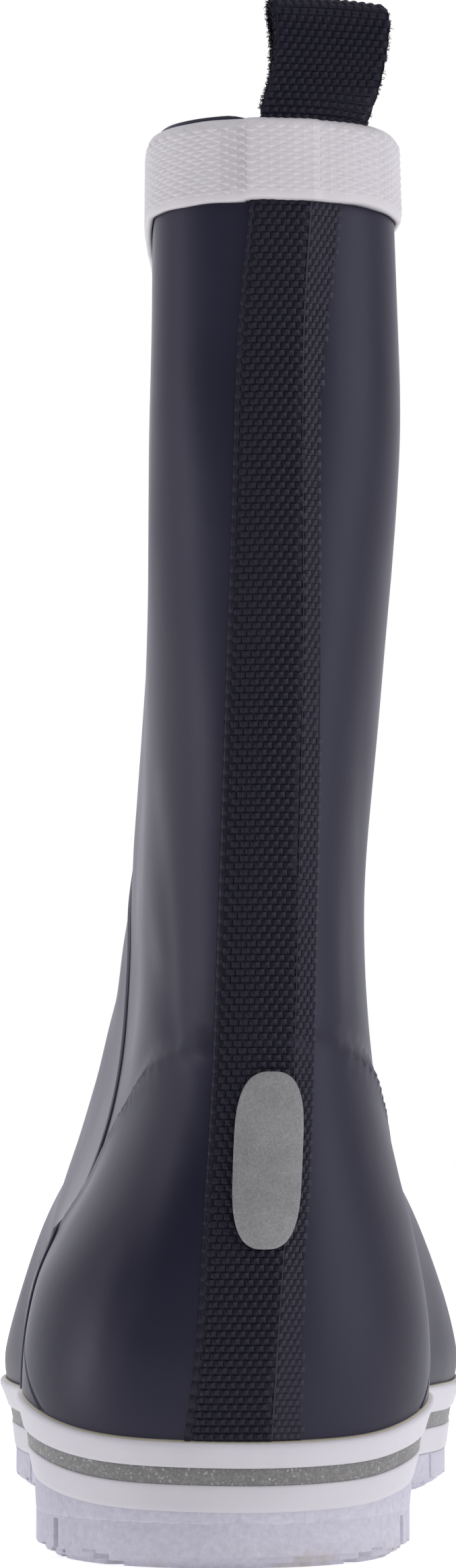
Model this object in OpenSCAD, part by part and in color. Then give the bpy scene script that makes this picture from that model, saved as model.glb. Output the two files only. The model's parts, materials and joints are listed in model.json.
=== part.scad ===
// Child's rubber deck boot, left foot.
// Frame: origin on the ground under the middle of the heel, +Y to the toe, +Z up,
// +X to the inner (medial) side of the foot. Millimetres.

/* [Leg] */
// Height of the leg's top edge above the ground
leg_top = 235; // [215:1:250]
// Thickness of the outer rubber
rubber = 1.6; // [1.2:0.1:2]
// Thickness of the knitted lining
lining = 1.4; // [0.8:0.1:1.6]
// Height of the textured band round the top edge
band_h = 14; // [10:0.5:18]
// Thickness of that band
band_t = 1.2; // [1:0.1:1.6]

/* [Foot] */
// Thickness of the board that the upper is lasted over
board_t = 1.7; // [1.2:0.1:2]
// Thickness of the heel counter at its middle
counter_t = 1.2; // [0.8:0.1:1.4]
// Thickness of the removable footbed
footbed_t = 4; // [3:0.5:5]

/* [Sole] */
// Depth of the tread grooves
tread_depth = 2.5; // [1.5:0.5:3]
// Width of the tread grooves
groove_w = 2.4; // [1.5:0.1:3]
// Spacing of the tread grooves along the foot
groove_pitch = 13; // [11:1:18]
// How far the side bands stand off the upper
foxing_t = 1.7; // [1.2:0.1:2]

/* [Back] */
// Thickness of the embossed strip
strip_t = 1.3; // [0.8:0.1:1.6]
// Height of the reflective patch's middle
patch_z = 64; // [60:1:72]
// Length of the reflective patch
patch_len = 28; // [22:1:32]

/* [Pull loop] */
// Height of the loop's top above the leg's edge
loop_rise = 20; // [18:1:24]
// Width of the webbing at its root
loop_w = 17.5; // [14:0.5:18]
// Width of the loop at its top
loop_top_w = 19.5; // [17:0.5:21]
// Thickness of the webbing
webbing_t = 1.2; // [1:0.1:1.3]

/* [Hidden] */

navy = [0.12, 0.12, 0.17];
off_white = [0.80, 0.79, 0.82];
stripe_grey = [0.47, 0.46, 0.46];
knit_grey = [0.62, 0.63, 0.66];

gap = 0.3;                                    // glue line between stacked layers
sole_z = 9.2;                                 // underside of the lasted upper
heel_y = -31;                                 // back of the heel
toe_y = 197;                                  // tip of the toe
fan = [118, 128];                             // pivot (y, z) of the sections round the ankle
lining_out = rubber + gap;
lining_in = lining_out + lining;
board_in = lining_out + board_t;              // board's top, counted from the upper's underside

// Side view: where the back line, the front of the leg and the instep lie
back_line = [[0, -31], [20, -31], [34, -31.3], [50, -30], [70, -26.5], [95, -22.5],
             [130, -21], [180, -21], [250, -20]];
leg_front = [[120, 88], [150, 88.5], [180, 90], [250, 92.5]];
instep_r = [[0, 30], [22.5, 31], [45, 34.5], [67.5, 40], [90, 48]];
foot_top = [[110, 85], [118, 80], [133, 67.5], [148, 58], [163, 51.5], [177, 46], [188, 39],
            [194, 32.5], [197, 26.5], [200, 20]];
// Half widths: of the leg by height, and of the foot by length
leg_half = [[0, 32.6], [20, 32.8], [33, 32.8], [43, 31], [52, 27.6], [61, 23.8], [73, 20.7],
            [87, 19.2], [109, 18.7], [145, 19.9], [184, 20.95], [207, 20.45], [250, 19.75]];
foot_half = [[-40, 32.6], [0, 32.6], [28, 30.2], [60, 29.5], [95, 35.5], [122, 43], [140, 45.3],
             [200, 45.3]];
// Sideways shift of the middle: of the leg by height, and of the foot by length
leg_shift = [[0, 0.2], [42, 2], [60, 4.9], [73, 5.8], [109, 6.1], [145, 7.8], [184, 8.95],
             [235, 8.55], [260, 8.55]];
foot_shift = [[-40, 0], [0, 0.2], [40, 2.2], [90, 8.2], [140, 12.9], [200, 14]];

function clamp01(x) = max(0, min(1, x));
function ease(a, b, x) = let (t = clamp01((x - a) / (b - a))) t * t * (3 - 2 * t);
// Rises from 0 at a down to 1 at a lower b
function fall(a, b, x) = 1 - ease(b, a, x);
// Smooth curve through the points of a list
function slope(p, i) = let (a = max(0, i - 1), b = min(len(p) - 1, i + 1))
    (p[b][1] - p[a][1]) / (p[b][0] - p[a][0]);
function seat(p, x, i = 0) = (i >= len(p) - 2 || x < p[i + 1][0]) ? i : seat(p, x, i + 1);
function curve(p, x) = let (i = seat(p, x), h = p[i + 1][0] - p[i][0],
                            t = clamp01((x - p[i][0]) / h), t2 = t * t, t3 = t2 * t)
    (2 * t3 - 3 * t2 + 1) * p[i][1] + (t3 - 2 * t2 + t) * h * slope(p, i)
    + (3 * t2 - 2 * t3) * p[i + 1][1] + (t3 - t2) * h * slope(p, i + 1);
// Rounded end: 0 at x = 0, 1 from x = 1 on
function bulge(x, p) = pow(1 - pow(1 - clamp01(x), p), 1 / p);

// Fan angle of a point, and its distance from the front surface along its section
function fan_angle(y, z) = z >= fan[1] ? 0 : y >= fan[0] ? 90 : atan2(fan[1] - z, fan[0] - y);
function front_depth(y, z) = z >= fan[1] ? curve(leg_front, z) - y
    : y >= fan[0] ? curve(foot_top, y) - z
    : norm([fan[0] - y, fan[1] - z]) - curve(instep_r, fan_angle(y, z));
// Depth over which the front of a section is rounded
function front_round(y, z) = let (a = fan_angle(y, z), s = ease(0, 90, a))
    (1 - s) * 42 + s * max(16, 0.88 * (curve(foot_top, max(y, fan[0])) - sole_z));
function back_round(z) = 17 + 14 * fall(210, 110, z) + 2 * fall(115, 35, z);
// How much narrower the leg is at its front than near its back
function front_taper(y, z) = 1 - 0.26 * ease(90, 200, z) * ease(-5, 70, y);
// How far the upper tucks in towards its underside
function tuck(y, z) = (2.1 + 0.9 * ease(40, 120, y)) * fall(27, sole_z, z);
// Half width of the boot at (y, z), for a surface d inside the outside
function toe_end(y, d) = let (a = 142, b = toe_y + 0.4 - d)
    y < a ? 1 : pow(max(0, 1 - pow(clamp01((y - a) / (b - a)), 2.3)), 1 / 2.3);
function half_width(y, z, d) = let (s = ease(15, 90, fan_angle(y, z)))
    ((1 - s) * curve(leg_half, z) * front_taper(y, z)
     + (s * curve(foot_half, y) - tuck(y, z) - d) * toe_end(y, d))
    * bulge((front_depth(y, z) - d) / (front_round(y, z) - d), 2.25 - 0.2 * s)
    * (y < 70 ? bulge((y - curve(back_line, z) - d) / (back_round(z) - d), 2.15) : 1);
function shift(y, z) = let (s = ease(15, 90, fan_angle(y, z)))
    (1 - s) * curve(leg_shift, z) + s * curve(foot_shift, y);

// Sections from the leg's top, round the ankle, to the toe: [kind, value]
leg_levels = [0, band_h, 35, 55, 75, 92];
fan_steps = [0, 7, 14, 20, 25.5, 30.5, 34.5, 37, 38.2, 38.9, 40.5, 43.5, 48, 53, 58, 64, 70, 76.5,
             83.5];
corner_angle = 38.5;                          // sections past this end on the sole
foot_steps = [118, 128, 138, 147, 155, 163, 170.5, 177.5, 183.5, 188.5, 192.3, 195, 196.6];
sections = concat([for (v = leg_levels) [0, leg_top - v]], [for (a = fan_steps) [1, a]],
                  [for (y = foot_steps) [2, y]]);
last_section = len(sections) - 1;
side_n = 10;                                  // points down each side of a section
flat_n = 4;                                   // points across half of its underside
half_n = side_n + flat_n;
loop_n = 2 * half_n;

// Place along the foot of a toe section, which an inner surface draws back
function drawn_back(y, d) = y - d * ease(150, 196, y);
function ray_start(s, d) = s[0] == 0 ? [curve(leg_front, s[1]) - d, s[1]]
    : s[0] == 2 ? [drawn_back(s[1], d), curve(foot_top, s[1]) - d]
    : fan - (curve(instep_r, s[1]) + d) * [cos(s[1]), sin(s[1])];
function back_hit(a, d, t, n = 8) = n == 0 ? t
    : back_hit(a, d, (fan[0] - curve(back_line, fan[1] - t * sin(a)) - d) / cos(a), n - 1);
function ray_end(s, d, under) = s[0] == 0 ? [curve(back_line, s[1]) + d, s[1]]
    : s[0] == 2 ? [drawn_back(s[1], d), sole_z + under]
    : let (sole_t = (fan[1] - sole_z - under) / sin(max(1, s[1])),
           t = s[1] > corner_angle ? sole_t : min(sole_t - 0.4, back_hit(s[1], d, 140)))
      fan - t * [cos(s[1]), sin(s[1])];
// Share of the way down a section's side at which point k lies: close together near the sole
function down_side(k, top, bottom) = k >= side_n ? 1
    : k == side_n - 1 ? min(0.95, (top - 17) / (top - bottom))
    : (1 - cos(90 * k / (side_n - 2))) * min(0.88, (top - 25) / (top - bottom));
function near_corner(k, top, bottom) = k <= side_n ? 0.985 * down_side(k, top, bottom)
    : 0.985 + 0.015 * (k - side_n) / flat_n;
function on_sole(s) = s[0] == 2 || (s[0] == 1 && s[1] > corner_angle);
// Point k (0 front or top, half_n back or bottom) of a section's half, as [half x, y, z]
function half_point(s, k, d, under) = let (a = ray_start(s, d), b = ray_end(s, d, under),
        sole = on_sole(s),
        even = (1 - cos(180 * k / half_n)) / 2,
        f = sole ? down_side(k, a[1], b[1])
            : even + ease(14, corner_angle, s[0] * s[1]) * (near_corner(k, a[1], b[1]) - even),
        q = a + (b - a) * f,
        w = k == 0 || k == half_n ? 0 : max(0.05 * min(k, half_n - k), half_width(q[0], q[1], d)))
    [sole && k > side_n ? w * (half_n - k) / flat_n : w, q[0], q[1]];
// Point j of the whole loop, from the front down the inner side and back up the outer side
function loop_point(i, j, d, under) = let (s = sections[i], k = j <= half_n ? j : loop_n - j,
        side = j <= half_n ? 1 : -1, p = half_point(s, k, d, under))
    [shift(p[1], p[2]) + side * p[0], p[1], p[2]];

// Closed wall between two offset surfaces, each offset a function of the point's place
module wall(i0, i1, outer, inner, under_out, under_in, closed_end = false) {
    rows = i1 - i0 + 1;
    grid = function (off, under) [for (i = [i0:i1], j = [loop_n:-1:1])
        let (p = loop_point(i, j, 0, 0)) loop_point(i, j, off(p), under)];
    a = grid(outer, under_out);
    b = grid(inner, under_in);
    n = rows * loop_n;
    id = function (r, j, s) s * n + r * loop_n + (j % loop_n);
    skin = [for (r = [0:rows - 2], j = [0:loop_n - 1])
        each [[id(r, j, 0), id(r, j + 1, 0), id(r + 1, j + 1, 0)],
              [id(r, j, 0), id(r + 1, j + 1, 0), id(r + 1, j, 0)],
              [id(r, j, 1), id(r + 1, j + 1, 1), id(r, j + 1, 1)],
              [id(r, j, 1), id(r + 1, j, 1), id(r + 1, j + 1, 1)]]];
    rim = function (r, flip) [for (j = [0:loop_n - 1]) each flip
        ? [[id(r, j, 0), id(r, j + 1, 1), id(r, j + 1, 0)], [id(r, j, 0), id(r, j, 1), id(r, j + 1, 1)]]
        : [[id(r, j, 0), id(r, j + 1, 0), id(r, j + 1, 1)], [id(r, j, 0), id(r, j + 1, 1), id(r, j, 1)]]];
    cap = function (s) [for (j = [1:loop_n - 2]) s == 0
        ? [id(rows - 1, 0, 0), id(rows - 1, j, 0), id(rows - 1, j + 1, 0)]
        : [id(rows - 1, 0, 1), id(rows - 1, j + 1, 1), id(rows - 1, j, 1)]];
    polyhedron(concat(a, b), concat(skin, rim(0, true),
               closed_end ? concat(cap(0), cap(1)) : rim(rows - 1, false)));
}

// Patch of a wall, between loop points j0 and j1
module wall_patch(i0, i1, j0, j1, outer, inner, under = 0) {
    rows = i1 - i0 + 1;
    cols = j1 - j0 + 1;
    grid = function (off) [for (i = [i0:i1], j = [j1:-1:j0]) loop_point(i, j, off, under)];
    slab(concat(grid(outer), grid(inner)), rows, cols);
}

// Closed slab from two grids of points, rows by cols, the first grid outside
module slab(points, rows, cols) {
    n = rows * cols;
    id = function (r, c, s) s * n + r * cols + c;
    skin = [for (r = [0:rows - 2], c = [0:cols - 2])
        each [[id(r, c, 0), id(r, c + 1, 0), id(r + 1, c + 1, 0)],
              [id(r, c, 0), id(r + 1, c + 1, 0), id(r + 1, c, 0)],
              [id(r, c, 1), id(r + 1, c + 1, 1), id(r, c + 1, 1)],
              [id(r, c, 1), id(r + 1, c, 1), id(r + 1, c + 1, 1)]]];
    ends = [for (c = [0:cols - 2])
        each [[id(0, c, 0), id(0, c + 1, 1), id(0, c + 1, 0)], [id(0, c, 0), id(0, c, 1), id(0, c + 1, 1)],
              [id(rows - 1, c, 0), id(rows - 1, c + 1, 0), id(rows - 1, c + 1, 1)],
              [id(rows - 1, c, 0), id(rows - 1, c + 1, 1), id(rows - 1, c, 1)]]];
    sides = [for (r = [0:rows - 2])
        each [[id(r, 0, 0), id(r + 1, 0, 0), id(r + 1, 0, 1)], [id(r, 0, 0), id(r + 1, 0, 1), id(r, 0, 1)],
              [id(r, cols - 1, 0), id(r + 1, cols - 1, 1), id(r + 1, cols - 1, 0)],
              [id(r, cols - 1, 0), id(r, cols - 1, 1), id(r + 1, cols - 1, 1)]]];
    polyhedron(points, concat(skin, ends, sides));
}

// Prism through the whole boot, from an outline in the side view (y, z)
module side_prism(outline) {
    translate([-80, 0, 0]) rotate([90, 0, 90]) linear_extrude(160) polygon(outline);
}

// Keeps a cut layer as one mesh
module as_mesh() { resize([0, 0, 0]) children(); }

// Edge of the vamp in the side view, from the sole up and forward over the ankle
vamp_edge = [[12, 0], [12, 25], [15.5, 45], [21, 64], [29, 84], [40, 100], [56, 113],
             [75, 124], [110, 133], [220, 136], [220, 0]];
// Stiffened heel, and stiffened toe, in the side view
counter_edge = [[-50, 84], [-21, 84], [-8, 79.5], [6, 69], [17, 56], [26, 42], [31, 26],
                [33, 0], [-50, 0]];
puff_start = 152;

function in_counter(p) = fall(86, 76, p[2] + 0.9 * max(0, p[1] + 12)) * fall(36, 26, p[1]);
function in_puff(p) = ease(puff_start - 6, puff_start + 4, p[1]);
function lining_offset(p) = lining_out + (counter_t + gap) * max(in_counter(p), in_puff(p));

// Outline of the boot at the sole: outset, and a height that may follow the length
outline_n = 44;
function outline_side(z_at, d, side) = [for (i = [0:outline_n])
    let (y = heel_y - 0.1 + (toe_y + 0.2 - heel_y) * (1 - cos(180 * i / outline_n)) / 2,
         z = z_at(y), w = i == 0 || i == outline_n ? 0 : half_width(y, z, d))
    [shift(y, z) + side * w, y, z]];
function outline_ring(z_at, d) = concat(outline_side(z_at, d, 1),
    [for (i = [outline_n - 1:-1:1]) outline_side(z_at, d, -1)[i]]);
function flat(points) = [for (p = points) [p[0], p[1]]];
function ring_normal(r, i) = let (n = len(r), t = r[(i + 1) % n] - r[(i + n - 1) % n])
    [t[1], -t[0]] / norm([t[0], t[1]]);
function outset(r, t) = [for (i = [0:len(r) - 1]) let (m = ring_normal(r, i))
    [r[i][0] + m[0] * t, r[i][1] + m[1] * t, r[i][2]]];

// Closed ring of four-sided section, from its four rings of n points each
module ring_solid(points, n) {
    polyhedron(points, [for (i = [0:n - 1], q = [0:3]) let (j = (i + 1) % n, q2 = (q + 1) % 4)
        each [[q * n + i, q * n + j, q2 * n + j], [q * n + i, q2 * n + j, q2 * n + i]]]);
}

foxing_gap = 0.45;
// Band round the sole between two heights, from one outset to another
module side_band(low, high, t_low, t_high) {
    inner_low = outset(outline_ring(low, 0), foxing_gap);
    inner_high = outset(outline_ring(high, 0), foxing_gap);
    ring_solid(concat(inner_low, inner_high, outset(inner_high, t_high - foxing_gap),
                      outset(inner_low, t_low - foxing_gap)), len(inner_low));
}

// Heights of the edges between the bands, which rise beside the heel
function beside_heel(y) = ease(heel_y, 2, y) * fall(110, 20, y);
stripe_low = function (y) 13.2 - 1.3 * ease(40, 120, y) + 4.2 * beside_heel(y);
stripe_high = function (y) 16.1 - 1.0 * ease(40, 120, y) + 4.1 * beside_heel(y);
foxing_top = function (y) 19.9 + 0.2 * ease(40, 120, y) + 5.8 * beside_heel(y);
level = function (z) (function (y) z);

forefoot_slant = 8;                           // degrees that the grooves turn under the ball
module tread_grooves() {
    for (y = [heel_y + 10:groove_pitch:toe_y - 12])
        translate([0, y, -1]) rotate(y > 60 ? forefoot_slant : 0)
            translate([-60, -groove_w / 2, 0]) cube([140, groove_w, tread_depth + 1]);
}

module side_notches() {
    ring = outset(outline_ring(level(sole_z), 0), 0.2);
    for (i = [8:3:outline_n - 4], side = [0, 1])
        let (k = side == 0 ? i : 2 * outline_n - i, p = ring[k], m = ring_normal(ring, k))
            translate([p[0], p[1], 1.2]) rotate(atan2(m[1], m[0])) linear_extrude(5.6)
                polygon([[1.5, -1.4], [1.5, 1.4], [-2.6, 0]]);
}

// Slab of the outsole from height z up, its side stepped out from the upper's outline by d
module sole_layer(z, d) {
    translate([0, 0, z]) linear_extrude(8.2 - z)
        polygon(flat(outset(outline_ring(level(sole_z), 0), d)));
}

// Outsole: flat deck tread with cross grooves and notched side walls
module outsole() {
    color(off_white) difference() {
        union() {
            sole_layer(0, -2.9);
            sole_layer(0.9, -1.3);
            sole_layer(2, 0.2);
        }
        tread_grooves();
        side_notches();
    }
}

module foxing_lower() {
    color(off_white) side_band(level(8.4), function (y) stripe_low(y) - 0.03, 0.6, foxing_t - 0.5);
}
module foxing_stripe() {
    color(stripe_grey) side_band(stripe_low, stripe_high, foxing_t - 0.7, foxing_t - 0.7);
}
module foxing_upper() {
    color(off_white) side_band(function (y) stripe_high(y) + 0.03, foxing_top, foxing_t - 0.5, foxing_t);
}

function sole_plan(inset, z) = [for (p = outset(outline_ring(level(z), 0), -inset)) [p[0], p[1]]];
margin = 12;                                  // width of the upper's turned-in edge

// Fills the hollow between the turned-in edges of the upper
module bottom_filler() {
    color("dimgray") translate([0, 0, 8.3]) linear_extrude(sole_z + rubber - 8.3)
        polygon(sole_plan(margin + 0.3, sole_z));
}
module insole_board() {
    color("tan") translate([0, 0, sole_z + rubber + gap / 2]) linear_extrude(board_t - gap)
        polygon(sole_plan(3.8, sole_z + 3));
}
// Loose cushioned insole; it lifts at the heel about its toe end
module footbed() {
    color("slategray") translate([0, 0, sole_z + board_in + gap + lining + 0.3])
        linear_extrude(footbed_t) polygon(sole_plan(9, sole_z + 3));
}

module upper_layer() {
    wall(0, last_section, function (p) 0, function (p) rubber, 0, rubber, true);
}
module sole_opening() {
    translate([0, 0, sole_z - 2]) linear_extrude(rubber + 2.6) polygon(sole_plan(margin, sole_z));
}
module leg_shell() {
    color(navy) as_mesh() difference() {
        upper_layer();
        side_prism([for (p = vamp_edge) p - [0.05, 0]]);
        sole_opening();
    }
}
module vamp() {
    color(navy) as_mesh() difference() {
        intersection() {
            upper_layer();
            side_prism(vamp_edge);
        }
        sole_opening();
    }
}

// Extra rubber round the toe, above the side bands
module toe_cap() {
    color(navy) as_mesh() intersection() {
        wall(last_section - 6, last_section, function (p) -1.3, function (p) -0.3, 3, 4, true);
        side_prism([[172, 21.5], [178, 34], [187, 38], [230, 38], [230, 21.5]]);
    }
}

module lining_layer() {
    wall(0, last_section, function (p) lining_offset(p), function (p) lining_offset(p) + lining,
         board_in + gap, board_in + gap + lining, true);
}
module leg_lining() {
    color(knit_grey) as_mesh() difference() {
        lining_layer();
        side_prism([for (p = vamp_edge) p + [10, -2]]);
    }
}
module foot_lining() {
    color(knit_grey) as_mesh() intersection() {
        lining_layer();
        side_prism([for (p = vamp_edge) p + [10.1, -2.1]]);
    }
}
module stiffener(edge, i0, i1, closed_end) {
    as_mesh() intersection() {
        wall(i0, i1, function (p) rubber + gap, function (p) lining_offset(p) - gap + 0.02,
             board_in, board_in + 0.01, closed_end);
        side_prism(edge);
    }
}
module heel_counter() {
    color("dimgray") as_mesh() difference() {
        stiffener(counter_edge, 6, last_section - 6, false);
        translate([-60, -60, 0]) cube([140, 160, 18.5]);
    }
}
module toe_puff() {
    color("dimgray") as_mesh() difference() {
        stiffener([[puff_start, 0], [puff_start, 90], [230, 90], [230, 0]], last_section - 8,
                  last_section, true);
        translate([-60, 100, 0]) cube([140, 110, 18.5]);
    }
}

// Point on the back of the leg at (x, z), d outside the rubber
function back_point(x, z, d) = let (m = curve(leg_shift, z), w = half_width(25, z, 0) / front_taper(25, z),
        q = min(0.93, abs(x - m) / w), r = back_round(z),
        y = curve(back_line, z) + r * (1 - pow(1 - pow(q, 2.15), 1 / 2.15)),
        nx = (x - m) / w * 0.9, nn = norm([nx, 1]))
    [x + nx / nn * d, y - d / nn, z];
// Edges of the strips up the back, from the ankle to the band: (height, sideways place)
strip_left = [[20, -8], [35, -6.2], [52, -5], [73, -3.3], [91, -2.3], [129, -0.9], [165, 0.3],
              [200, 1.5], [221, 3.3]];
strip_right = [[20, 5.3], [44, 6.9], [65, 8.8], [95, 10.2], [147, 11.5], [186, 11.5], [203, 11.8],
               [221, 12.9]];
side_right = [[20, 10.2], [51, 11], [66, 12.2], [95, 13.6], [141, 14.5], [182, 14.3], [200, 15.7],
              [221, 18.2]];
module back_tape(x0_at, x1_at, z0, z1, d0, d1, across = 6, up = 24) {
    grid = function (d) [for (i = [0:up], j = [0:across]) let (z = z1 + (z0 - z1) * i / up)
        back_point(x0_at(z) + (x1_at(z) - x0_at(z)) * j / across, z, d)];
    slab(concat(grid(d1), grid(d0)), up + 1, across + 1);
}
module back_strip() {
    color(navy) back_tape(function (z) curve(strip_left, z), function (z) curve(strip_right, z),
                          21, leg_top - band_h - 1, 0.25, strip_t, 8);
}
module side_strip() {
    color(navy) back_tape(function (z) curve(strip_right, z) + 0.1, function (z) curve(side_right, z),
                          21, leg_top - band_h - 1, 0.25, strip_t - 0.3, 3);
}
// Stadium-shaped reflective patch on the back strip
patch_w = 10.4;
patch_x = 5.3;
patch_lean = 0.06;                            // sideways lean per millimetre of height
module reflective_patch() {
    r = patch_w / 2;
    straight = patch_len / 2 - r;
    middle = function (z) patch_x + patch_lean * (z - patch_z);
    reach = function (z) let (e = max(0, abs(z - patch_z) - straight)) sqrt(max(0.09, r * r - e * e));
    color("silver") back_tape(function (z) middle(z) - reach(z), function (z) middle(z) + reach(z),
                              patch_z - patch_len / 2 + 0.05, patch_z + patch_len / 2 - 0.05,
                              strip_t + 0.25, strip_t + 0.7, 6, 20);
}

// Textured band; it passes over the outer end of the pull loop's webbing
band_n = 26;
function leg_ring(z) = let (back = curve(back_line, z), front = curve(leg_front, z),
        side = function (s, i) let (y = back + (front - back) * (1 - cos(180 * i / band_n)) / 2,
            w = i == 0 || i == band_n ? 0 : half_width(y, z, 0)) [shift(y, z) + s * w, y, z])
    concat([for (i = [0:band_n]) side(1, i)], [for (i = [band_n - 1:-1:1]) side(-1, i)]);
function over_loop(p) = p[1] > 10 ? 0 : fall(loop_w / 2 + 4.5, loop_w / 2 + 2, abs(p[0] - loop_x));
module top_band() {
    ring = function (z, out) let (r = leg_ring(z)) [for (i = [0:len(r) - 1])
        let (b = over_loop(r[i]), m = ring_normal(r, i),
             t = out ? band_t + b * webbing_t : gap + b * (webbing_t + 0.35))
        r[i] + t * [m[0], m[1], 0]];
    low = leg_top - band_h;
    color(off_white) ring_solid(concat(ring(low, false), ring(leg_top, false), ring(leg_top, true),
                                       ring(low, true)), 2 * band_n);
}

// Woven tape inside the leg's mouth
module collar_facing() {
    color("slategray") wall(0, 1, function (p) lining_in + 0.1, function (p) lining_in + 0.8, 0, 0);
}
// Tape over the lining's back seam
module lining_seam_tape() {
    color("slategray") wall_patch(1, 5, half_n - 1, half_n + 1, lining_in + 0.1, lining_in + 0.6);
}

// Pull loop of folded webbing: its free part, and the two ends fixed in the leg
loop_foot_z = leg_top + 5.3;
loop_outer_y = -22.8;
loop_inner_y = -14.6;
loop_x = 13.8;
loop_lean = 2.7;                              // sideways lean from root to top
function loop_edge(side) = function (z) loop_x + side * loop_w / 2;
module loop_outer_end() {
    color(navy) back_tape(loop_edge(-1), loop_edge(1), leg_top - band_h + 0.2, leg_top - 0.1,
                          0.3, 0.3 + webbing_t, 8, 2);
}
module loop_inner_end() {
    depth = lining_in + 1.3;
    color(navy) back_tape(loop_edge(-1), loop_edge(1), leg_top - band_h, leg_top - 0.1,
                          -depth - webbing_t, -depth, 8, 2);
}
module pull_loop() {
    mid_y = (loop_outer_y + loop_inner_y) / 2;
    r = (loop_inner_y - loop_outer_y) / 2;
    top = leg_top + loop_rise;
    color(navy) intersection() {
        difference() {
            loop_block(mid_y, r, top);
            translate([0, 0, -0.1]) loop_block(mid_y, r - webbing_t, top - webbing_t + 0.1);
        }
        translate([loop_x, mid_y + 20, 0]) rotate([90, 0, 0]) linear_extrude(40)
            polygon([[-loop_w / 2, leg_top], [loop_w / 2, leg_top],
                     [loop_lean + loop_top_w / 2, top + 1], [loop_lean - loop_top_w / 2, top + 1]]);
    }
}
module loop_block(y, r, top) {
    translate([loop_x - 15, 0, 0]) {
        translate([0, y - r, loop_foot_z]) cube([30, 2 * r, top - r - loop_foot_z]);
        translate([0, y, top - r]) rotate([0, 90, 0]) cylinder(h = 30, r = r, $fn = 48);
    }
}

outsole();
foxing_lower();
foxing_stripe();
foxing_upper();
bottom_filler();
insole_board();
footbed();
heel_counter();
toe_puff();
leg_lining();
foot_lining();
leg_shell();
vamp();
toe_cap();
back_strip();
side_strip();
reflective_patch();
top_band();
collar_facing();
lining_seam_tape();
pull_loop();
loop_outer_end();
loop_inner_end();
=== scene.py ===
import json
import math

import bmesh
import bpy
import numpy as np
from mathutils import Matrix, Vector

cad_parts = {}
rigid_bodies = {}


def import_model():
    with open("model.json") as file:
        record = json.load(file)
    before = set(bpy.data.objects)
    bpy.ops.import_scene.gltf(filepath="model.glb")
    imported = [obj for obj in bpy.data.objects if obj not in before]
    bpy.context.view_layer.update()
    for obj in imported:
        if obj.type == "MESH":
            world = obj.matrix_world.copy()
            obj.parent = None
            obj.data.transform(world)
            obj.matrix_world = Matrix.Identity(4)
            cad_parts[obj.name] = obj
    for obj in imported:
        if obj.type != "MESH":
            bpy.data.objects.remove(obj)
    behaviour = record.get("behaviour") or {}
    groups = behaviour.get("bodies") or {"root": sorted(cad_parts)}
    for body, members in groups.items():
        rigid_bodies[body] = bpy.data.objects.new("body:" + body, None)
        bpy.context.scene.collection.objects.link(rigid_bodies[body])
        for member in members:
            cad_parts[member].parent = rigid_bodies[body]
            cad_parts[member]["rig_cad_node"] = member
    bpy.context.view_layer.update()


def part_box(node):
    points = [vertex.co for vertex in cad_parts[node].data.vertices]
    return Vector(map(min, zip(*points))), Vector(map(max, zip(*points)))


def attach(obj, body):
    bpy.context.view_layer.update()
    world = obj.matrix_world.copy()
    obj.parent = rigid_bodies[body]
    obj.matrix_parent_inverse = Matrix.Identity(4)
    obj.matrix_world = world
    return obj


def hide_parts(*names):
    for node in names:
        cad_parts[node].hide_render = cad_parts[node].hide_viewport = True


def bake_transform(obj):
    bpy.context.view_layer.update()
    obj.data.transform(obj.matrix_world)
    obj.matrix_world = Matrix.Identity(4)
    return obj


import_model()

MM = 0.001

# ---------------------------------------------------------------- Studio and camera
# A pale floor in soft light: a tall and a low softbox at the left, broad ones at the right
# and overhead, and a surround that is brightest beyond the toe. The camera stands low
# behind the heel.
scene = bpy.context.scene
scene.view_settings.view_transform = "Standard"

camera_data = bpy.data.cameras.new("camera")
camera_data.lens = 96.5
camera_data.sensor_fit = "AUTO"
camera_data.sensor_width = 36
camera_data.clip_start = 0.01
camera_data.clip_end = 50
camera = bpy.data.objects.new("camera", camera_data)
scene.collection.objects.link(camera)
scene.camera = camera
LOOK_AZIMUTH = math.radians(-4.5)
LOOK_UP = math.radians(4.71)
CAMERA_AWAY, CAMERA_UP, CAMERA_SIDE = 0.7, 0.069, 0.0012
camera.location = Vector((CAMERA_AWAY * math.sin(LOOK_AZIMUTH) + CAMERA_SIDE,
                          -CAMERA_AWAY * math.cos(LOOK_AZIMUTH), CAMERA_UP))
aim = Vector((-math.sin(LOOK_AZIMUTH) * math.cos(LOOK_UP),
              math.cos(LOOK_AZIMUTH) * math.cos(LOOK_UP), math.sin(LOOK_UP)))
camera.rotation_mode = "QUATERNION"
camera.rotation_quaternion = aim.to_track_quat("-Z", "Y")

world = bpy.data.worlds.new("surround")
scene.world = world
world.use_nodes = True
tree = world.node_tree
tree.nodes.clear()
where, split, ramp, surround, seen, rays, mix, out = (
    tree.nodes.new("ShaderNode" + kind)
    for kind in ("TexCoord", "SeparateXYZ", "MapRange", "Background", "Background", "LightPath",
                 "MixShader", "OutputWorld"))
for label, value in (("From Min", -0.25), ("From Max", 1.0), ("To Min", 0.12), ("To Max", 1.45)):
    ramp.inputs[label].default_value = value
surround.inputs["Color"].default_value = (0.93, 0.92, 1.0, 1)
seen.inputs["Color"].default_value = (1, 1, 1, 1)
seen.inputs["Strength"].default_value = 1.0
for source, target in ((where.outputs["Generated"], split.inputs[0]),
                       (split.outputs["Y"], ramp.inputs["Value"]),
                       (ramp.outputs["Result"], surround.inputs["Strength"]),
                       (rays.outputs["Is Camera Ray"], mix.inputs["Fac"]),
                       (surround.outputs[0], mix.inputs[1]), (seen.outputs[0], mix.inputs[2]),
                       (mix.outputs[0], out.inputs["Surface"])):
    tree.links.new(source, target)


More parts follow.
